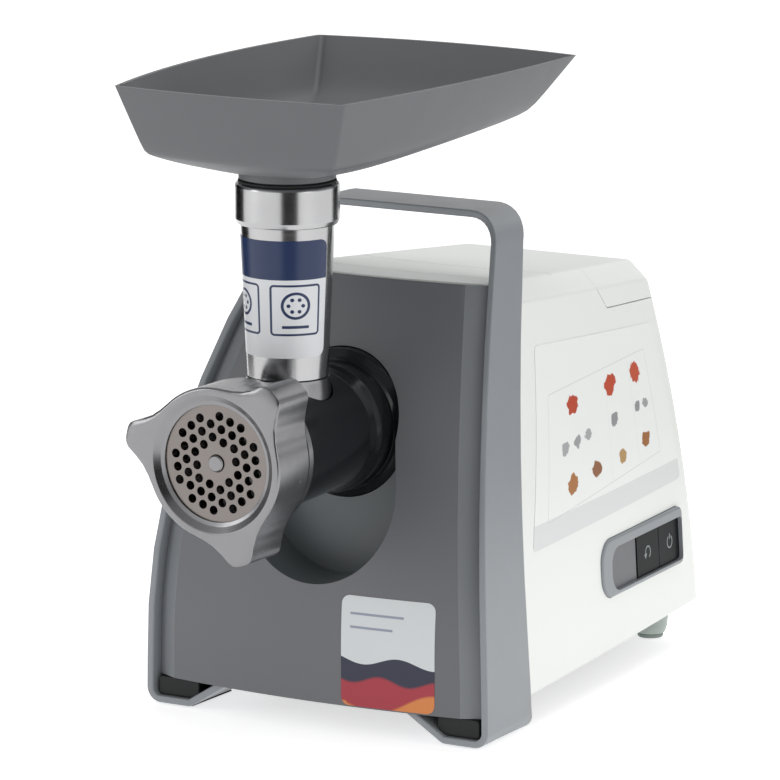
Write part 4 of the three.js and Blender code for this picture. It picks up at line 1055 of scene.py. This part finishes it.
# %% The control panel's own frame
CONTROL_Y, CONTROL_Z, CONTROL_HALF, KEY = 196.6, 63.3, 15.5, 28.5
here = Vector((side_wall(CONTROL_Y, CONTROL_Z) + 1.3, CONTROL_Y, CONTROL_Z))
along_wall = side_wall(CONTROL_Y + 50, CONTROL_Z) - side_wall(CONTROL_Y - 50, CONTROL_Z)
up_wall = side_wall(CONTROL_Y, CONTROL_Z + 10) - side_wall(CONTROL_Y, CONTROL_Z - 10)
u_axis = Vector((along_wall, 100, 0)).normalized()
v_guess = Vector((up_wall, 0, 20))
w_axis = u_axis.cross(v_guess).normalized()
v_axis = w_axis.cross(u_axis)


def on_control(u, v, w):
    spot = here + u_axis * u + v_axis * v + w_axis * w
    return row(spot.x, spot.y, spot.z)


def bar(front, rear, half, nose, corner, middle=0.0):
    """A bar with rounded ends: nose is the front corners' radius, corner the rear ones'."""
    low, high = middle - half, middle + half
    corners = [(front, low), (rear, low), (rear, high), (front, high)]
    return soften(corners, [nose, corner, corner, nose], steps=10)


BEZEL_FRONT, BEZEL_REAR = -54.5, 50.8
FIELD_HALF, FIELD_MIDDLE = 11.7, -1.6
KEYS_REAR = BEZEL_REAR - 1.1
POWER_FRONT = 22.5
REVERSE_FRONT = POWER_FRONT - GAP - KEY
FIELD_FLOOR, KEY_TOP = -1.6, -0.6

# %% Bezel, keys and the housing's cut-outs
cut(housing, bar(BEZEL_FRONT - GAP, BEZEL_REAR + GAP, CONTROL_HALF + GAP, 12.7, 4.3), on_control, -12, 12)
bezel = prism("control_bezel_fine", bar(BEZEL_FRONT, BEZEL_REAR, CONTROL_HALF, 12.4, 4), on_control,
              -4.5, 1.5)
soft_edges(bezel, 1.3, 4, 60)
field_bar = bar(BEZEL_FRONT + 11.5, KEYS_REAR, FIELD_HALF, 9.5, 2.8, FIELD_MIDDLE)
cut(bezel, field_bar, on_control, FIELD_FLOOR, 4)
window_bar = bar(REVERSE_FRONT - GAP, KEYS_REAR, FIELD_HALF, 0.1, 2.8, FIELD_MIDDLE)
cut(bezel, window_bar, on_control, -8, 4)
soft_edges(bezel, 0.35, 2, 60)
settle(bezel, "base", "frame_grey", "control_bezel")
plate = bar(BEZEL_FRONT + 12.0, REVERSE_FRONT - 0.6, FIELD_HALF - 0.5, 9.0, 0.3, FIELD_MIDDLE)
field = prism("control_field", plate, on_control, FIELD_FLOOR - 0.02, -1.1)
settle(soft_edges(field, 0.1, 2), "base", "panel_grey")
KEY_SHAPES = {"power_button": (POWER_FRONT, KEYS_REAR - GAP, 2.5),
              "reverse_button": (REVERSE_FRONT, REVERSE_FRONT + KEY, 0.3)}
key_black = moulded("deep_black_key", "#131517", 0.3, grain=0.00001, drift=0.05, patchy=0.04, shine=0.3,
                    bend=1.2)
for node, (front, rear, corner) in KEY_SHAPES.items():
    top = bar(front, rear, FIELD_HALF - GAP, 0.3, corner, FIELD_MIDDLE)
    key = prism(node + "_fine", top, on_control, -7, KEY_TOP)
    settle(soft_edges(key, 0.5, 3), node, "black_gloss", node, finish=key_black)


# %% Symbols on the keys
def arc_band(centre, start, end, radius=3.2, width=0.7, steps=24):
    turns = [math.radians(start + (end - start) * i / steps) for i in range(steps + 1)]
    outer, inner = [[(centre + r * math.cos(t), r * math.sin(t)) for t in turns]
                    for r in (radius + width / 2, radius - width / 2)]
    return [*outer, *reversed(inner)]


def on_keys(u, v, w):
    return on_control(u, v + FIELD_MIDDLE, w)


symbol_grey = moulded("printed_symbol_grey", "#8f9696", 0.5, grain=0.0)
power_at = POWER_FRONT + KEY / 2
reverse_at = REVERSE_FRONT + KEY / 2
SYMBOLS = [
    ("power_ring_mark", "power_button", arc_band(power_at, 120, 420)),
    ("power_bar_mark", "power_button", [(power_at - 0.35, 1.4), (power_at + 0.35, 1.4),
                                        (power_at + 0.35, 4.4), (power_at - 0.35, 4.4)]),
    ("reverse_arc_mark", "reverse_button", arc_band(reverse_at, -60, 200)),
    ("reverse_tip_mark", "reverse_button", [(reverse_at - 4.9, -0.6), (reverse_at - 3.1, -3.1),
                                            (reverse_at - 1.4, -0.3)]),
]
for name, body, outline in SYMBOLS:
    mark = prism(name, outline, on_keys, KEY_TOP - 0.03, KEY_TOP + 0.08)
    settle(mark, body, "black_gloss", finish=symbol_grey)

# %% Finish the housing and the lid
HINGE_Z, HINGE_RADIUS, PIN_HOLE = 189.6, 3.2, 1.62
HINGE = (rear_wall(HINGE_Z) + 2.4, HINGE_Z)
cut(housing, circle(7.3, (-42, 46), 32), facing_front, 230, 300)
for piece, low, high in ((housing, -14.3, 14.3), (lid, -26.4, -14.2), (lid, 14.2, 26.4)):
    cut(piece, circle(HINGE_RADIUS + GAP, HINGE, 32), facing_side, low, high)
soft_edges(housing, 0.45, 2, 50)
soft_edges(lid, 0.45, 2, 50)
settle(housing, "base", "white_plastic", "main_housing")
settle(lid, "lid", "white_plastic", "storage_lid")
for name, body, low, high in (("lid_knuckle", "lid", -14, 14), ("base_knuckle_left", "base", -26, -14.5),
                              ("base_knuckle_right", "base", 14.5, 26)):
    knuckle = prism(name, circle(HINGE_RADIUS, HINGE, 32), facing_side, low, high)
    cut(knuckle, circle(PIN_HOLE, HINGE, 24), facing_side, low - 1, high + 1)
    settle(soft_edges(knuckle, 0.3, 2, 50), body, "white_plastic")

# %% [markdown]
# ## Feet and small parts
# The rear feet are turned cones with a rubber pad. The small parts whose design shape is right are
# copied, their loose triangles merged, and their edges broken with a small bevel.

# %% Rear feet
REAR_FOOT = (52.5, 265.0)
FOOT_PROFILE = [(0, 2.3), (7.8, 2.3), (9.0, 6), (11, 22.4), (4, 22.4), (4, 32), (0, 32)]
PAD_PROFILE = [(0, 0), (6.4, 0), (7, 0.8), (7, 2.2), (0, 2.2)]
pale_rubber = rubbery("pale_rubber_pad", "#8d9791")
for side, word in ((-1, "left"), (1, "right")):
    spot = (side * REAR_FOOT[0], REAR_FOOT[1])
    foot = turned("rear_foot_" + word + "_fine", "z", FOOT_PROFILE, [0, 1.6, 4, 0.4, 0.2, 0.6, 0],
                  closed=False, steps=64, centre=spot)
    settle(foot, "base", "pale_plastic", "rear_foot_" + word)
    pad = turned("rear_foot_pad_" + word + "_fine", "z", PAD_PROFILE, [0, 0.4, 0.4, 0.3, 0],
                 closed=False, steps=48, centre=spot)
    settle(pad, "base", "rubber", "rear_foot_pad_" + word, finish=pale_rubber)


# %% Small parts refined from their design shape
def refined(node, width=0.35):
    """A merged and softened copy of a design part, in its place."""
    alone(NODES[node])
    bpy.ops.object.duplicate()
    obj = named(node + "_fine")
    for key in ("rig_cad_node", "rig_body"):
        if key in obj:
            del obj[key]
    obj.parent = None
    edit(obj, lambda: bpy.ops.mesh.remove_doubles(threshold=1e-5),
         lambda: bpy.ops.mesh.dissolve_limited(angle_limit=math.radians(1)))
    soft_edges(obj, width, 2, 40)
    return obj


BODY_OF = {node: body for body, nodes in frame["record"]["behaviour"]["bodies"].items() for node in nodes}
SMALL_PARTS = ["front_foot_pad_left", "front_foot_pad_right", "cord_gland", "release_button", "knife",
               "base_plate", "storage_bin", "drive_coupling"]
for node in SMALL_PARTS:
    settle(refined(node), BODY_OF[node], SLOTS[node], node)

# %% Black blocks in the front feet's hollows, as painted shade
# A near-black block fills each foot's hollow and stands in for the shade inside it: painted shade.
foot_hollow_shade_black = moulded("foot_hollow_painted_shade", "#141617", 0.6, drift=0.1)
for side, word in ((-1, "left"), (1, "right")):
    x0, x1 = sorted((side * 71, side * 95.4))
    outline = soften([(x0, 5.3), (x1, 5.3), (x1, 15), (x0, 15)], 2.0)
    block = prism("front_foot_shade_block_" + word, outline, facing_front, 2.5, 44)
    settle(soft_edges(block, 0.8, 2), "base", "dark_plastic", finish=foot_hollow_shade_black)

# %% [markdown]
# ## Labels
# Three labels are stuck on the object. Each is a thin sheet laid over the surface it sits on, with
# rounded corners, and its print is drawn in its own flat coordinates. The prints are plain fields
# and simple shapes, without any wording.


# %% Label sheets
LABEL_LIFT = 0.14


def label(name, width, height, radius, place, columns=48, rows_count=36, thickness=0.12):
    """A rounded sheet: place(u, v) puts a point given in millimetres from its middle."""
    rows = []
    for j in range(rows_count + 1):
        line = []
        for i in range(columns + 1):
            u, v = width * (i / columns - 0.5), height * (j / rows_count - 0.5)
            du, dv = abs(u) - (width / 2 - radius), abs(v) - (height / 2 - radius)
            if du > 0 and dv > 0:
                pull = max(du, dv) / math.hypot(du, dv)
                u = math.copysign(width / 2 - radius + du * pull, u)
                v = math.copysign(height / 2 - radius + dv * pull, v)
            line.append(place(u, v))
        rows.append(line)
    sheet = skin(name, rows)
    press(sheet, "SOLIDIFY", thickness=thickness * MM, offset=0)
    return sheet


class Print(Finish):
    """A label's print, drawn in millimetres from the label's middle."""

    def __init__(self, name, width, height):
        super().__init__(name)
        u, v, _ = self.parts("UV")
        self.u, self.v = (u - 0.5) * width, (v - 0.5) * height

    def block(self, u, v, half_u, half_v):
        return (half_u - (self.u - u).absolute()).inside() * (half_v - (self.v - v).absolute()).inside()

    def away(self, u, v, squash=1.0):
        """How far a place is from a point; squash over 1 makes a wide oval of it."""
        return ((self.u - u) ** 2 + ((self.v - v) * squash) ** 2) ** 0.5

    def spot(self, u, v, radius):
        return (radius - self.away(u, v)).inside()

    def rounded(self, u, v, half_u, half_v, corner):
        """A filled box with rounded corners."""
        past_u = self.sum("MAXIMUM", (self.u - u).absolute() - (half_u - corner), 0.0)
        past_v = self.sum("MAXIMUM", (self.v - v).absolute() - (half_v - corner), 0.0)
        return (corner - (past_u ** 2 + past_v ** 2) ** 0.5).inside()

    def outline(self, u, v, half_u, half_v, width=0.5, corner=1.0):
        return self.rounded(u, v, half_u, half_v, corner) - self.rounded(
            u, v, half_u - width, half_v - width, max(corner - width, 0.2))

    def blob(self, u, v, radius, squash=1.2):
        """A wide spot with an uneven edge."""
        uneven = (self.noise(260, 3) - 0.5) * radius * 1.3
        return (radius + uneven - self.away(u, v, squash)).inside(0, 0.5)

    def finish(self, colour, roughness=0.28):
        fine = self.noise(90, 3)
        return self.surface(Base_Color=colour, Roughness=roughness + (fine - 0.5) * 0.015,
                            Normal=self.bump(fine, 0.000001, 0.1))


# %% Label on the feed tube
TUBE_LABEL = (62.0, 59.4)


def on_tube(u, v):
    z = 229 + v
    radius = TUBE_LOW + (TUBE_HIGH - TUBE_LOW) * (z - TUBE_FOOT) / (COLLAR_LOW - TUBE_FOOT) + LABEL_LIFT
    turn = math.radians(88) * u / (TUBE_LABEL[0] / 2)
    return row(radius * math.sin(turn), TUBE_Y - radius * math.cos(turn), z)


tube_print = Print("tube_label_print", *TUBE_LABEL)
navy, paper = tone("#152a52"), tone("#d5d7da")
paint = tube_print.blend(paper, navy, (tube_print.v - 9.9).inside())
for side in (-1, 1):
    middle = side * 14.8
    paint = tube_print.blend(paint, navy, tube_print.outline(middle, -5.3, 12.2, 13, 1.1, 2.2))
    paint = tube_print.blend(paint, navy, tube_print.spot(middle, -3, 7.0))
    paint = tube_print.blend(paint, paper, tube_print.spot(middle, -3, 5.6))
    for u, v in circle(3.4, (middle, -3), 6):
        paint = tube_print.blend(paint, navy, tube_print.spot(u, v, 1.0))
    paint = tube_print.blend(paint, navy, tube_print.block(middle, -13.8, 6.5, 0.8))
settle(label("tube_label", *TUBE_LABEL, 4.5, on_tube), "base", "polished_steel",
       finish=tube_print.finish(paint))

# %% Label on the front panel
PANEL_LABEL = (52, 57)
panel_print = Print("panel_label_print", *PANEL_LABEL)
wave_one = (panel_print.u * 0.16 + 0.6).sine() * 2.2 - 4.0
wave_two = (panel_print.u * 0.2 + 2.4).sine() * 2.0 - 13.5
wave_three = (panel_print.u * 0.11 + 5.2).sine() * 4.0 + panel_print.u * 0.12 - 25.5
paint = panel_print.blend(tone("#ccd0d2"), tone("#23263b"), (wave_one - panel_print.v).inside())
paint = panel_print.blend(paint, tone("#a02a38"), (wave_two - panel_print.v).inside(0, 1.5))
paint = panel_print.blend(paint, tone("#cf7d3f"), (wave_three - panel_print.v).inside(0, 1.5))
paint = panel_print.blend(paint, tone("#8d93a3"), panel_print.block(-6, 19.5, 15, 0.7))
paint = panel_print.blend(paint, tone("#8d93a3"), panel_print.block(-9, 12.5, 12, 0.7))


def on_panel(u, v):
    x, z = 45.5 + u, 44.5 + v
    return row(x, panel_front(x, z) - LABEL_LIFT, z)


settle(label("panel_label", *PANEL_LABEL, 4.5, on_panel), "base", "panel_grey",
       finish=panel_print.finish(paint))

# %% Label on the side wall
SIDE_LABEL = (160.0, 94.0)
FRONT_LOW, REAR_LOW, FRONT_HIGH, REAR_HIGH = (62, 89.5), (253, 92.5), (93, 190), (238, 178.6)
side_print = Print("side_label_print", *SIDE_LABEL)
paint = side_print.blend(tone("#e8eae8"), tone("#d6d8d8"), side_print.block(0, -41, 80, 6))
side_print.v = side_print.v - side_print.u * 0.08
paint = side_print.blend(paint, tone("#c4c7c7"), side_print.outline(-2, -1.5, 64, 30, 0.3))
for u in (5, 37):
    paint = side_print.blend(paint, tone("#d2d4d4"), side_print.block(u, -1.5, 0.15, 29))
ICONS = [(-37, 18.6, 6.4, "#b5462f"), (11, 18.6, 6.8, "#b94d33"), (45, 18.6, 6.8, "#bb5338"),
         (-47, -1, 4.0, "#a3a5a6"), (-33, -0.5, 4.0, "#999b9c"), (-20, 0, 4.0, "#a3a5a6"),
         (12, 0, 4.4, "#8f9193"), (42, -0.5, 3.6, "#8f9193"), (52, -0.5, 3.6, "#9c9e9f"),
         (-39, -20, 5.8, "#a56b35"), (-12, -20, 5.4, "#8c5a38"), (18, -21, 4.6, "#b08d5a"),
         (47, -20, 5.0, "#9a6434")]
for u, v, size, code in ICONS:
    paint = side_print.blend(paint, tone(code), side_print.blob(u, v, size))


def between(a, b, share):
    return [p + (q - p) * share for p, q in zip(a, b)]


def on_side(u, v):
    """The label's four corners lie on the wall; between them the place is shared out evenly."""
    s, t = u / SIDE_LABEL[0] + 0.5, v / SIDE_LABEL[1] + 0.5
    y, z = between(between(FRONT_LOW, REAR_LOW, s), between(FRONT_HIGH, REAR_HIGH, s), t)
    front = front_edge(z) + SHELL_SETBACK
    share = min(max((y - front) / (rear_wall(z) - REAR_ROUND - front), 0), 1)
    return row(side_wall(y, z) + wall_bow(share) + 0.12, y, z)


settle(label("side_label", *SIDE_LABEL, 3, on_side), "base", "white_plastic",
       finish=side_print.finish(paint, 0.35))

# %% [markdown]
# ## Measure and finish
# The last cell prints how many meshes the scene holds.

# %% Count of meshes
print("new pieces and nodes in the scene:", len(bpy.data.meshes))
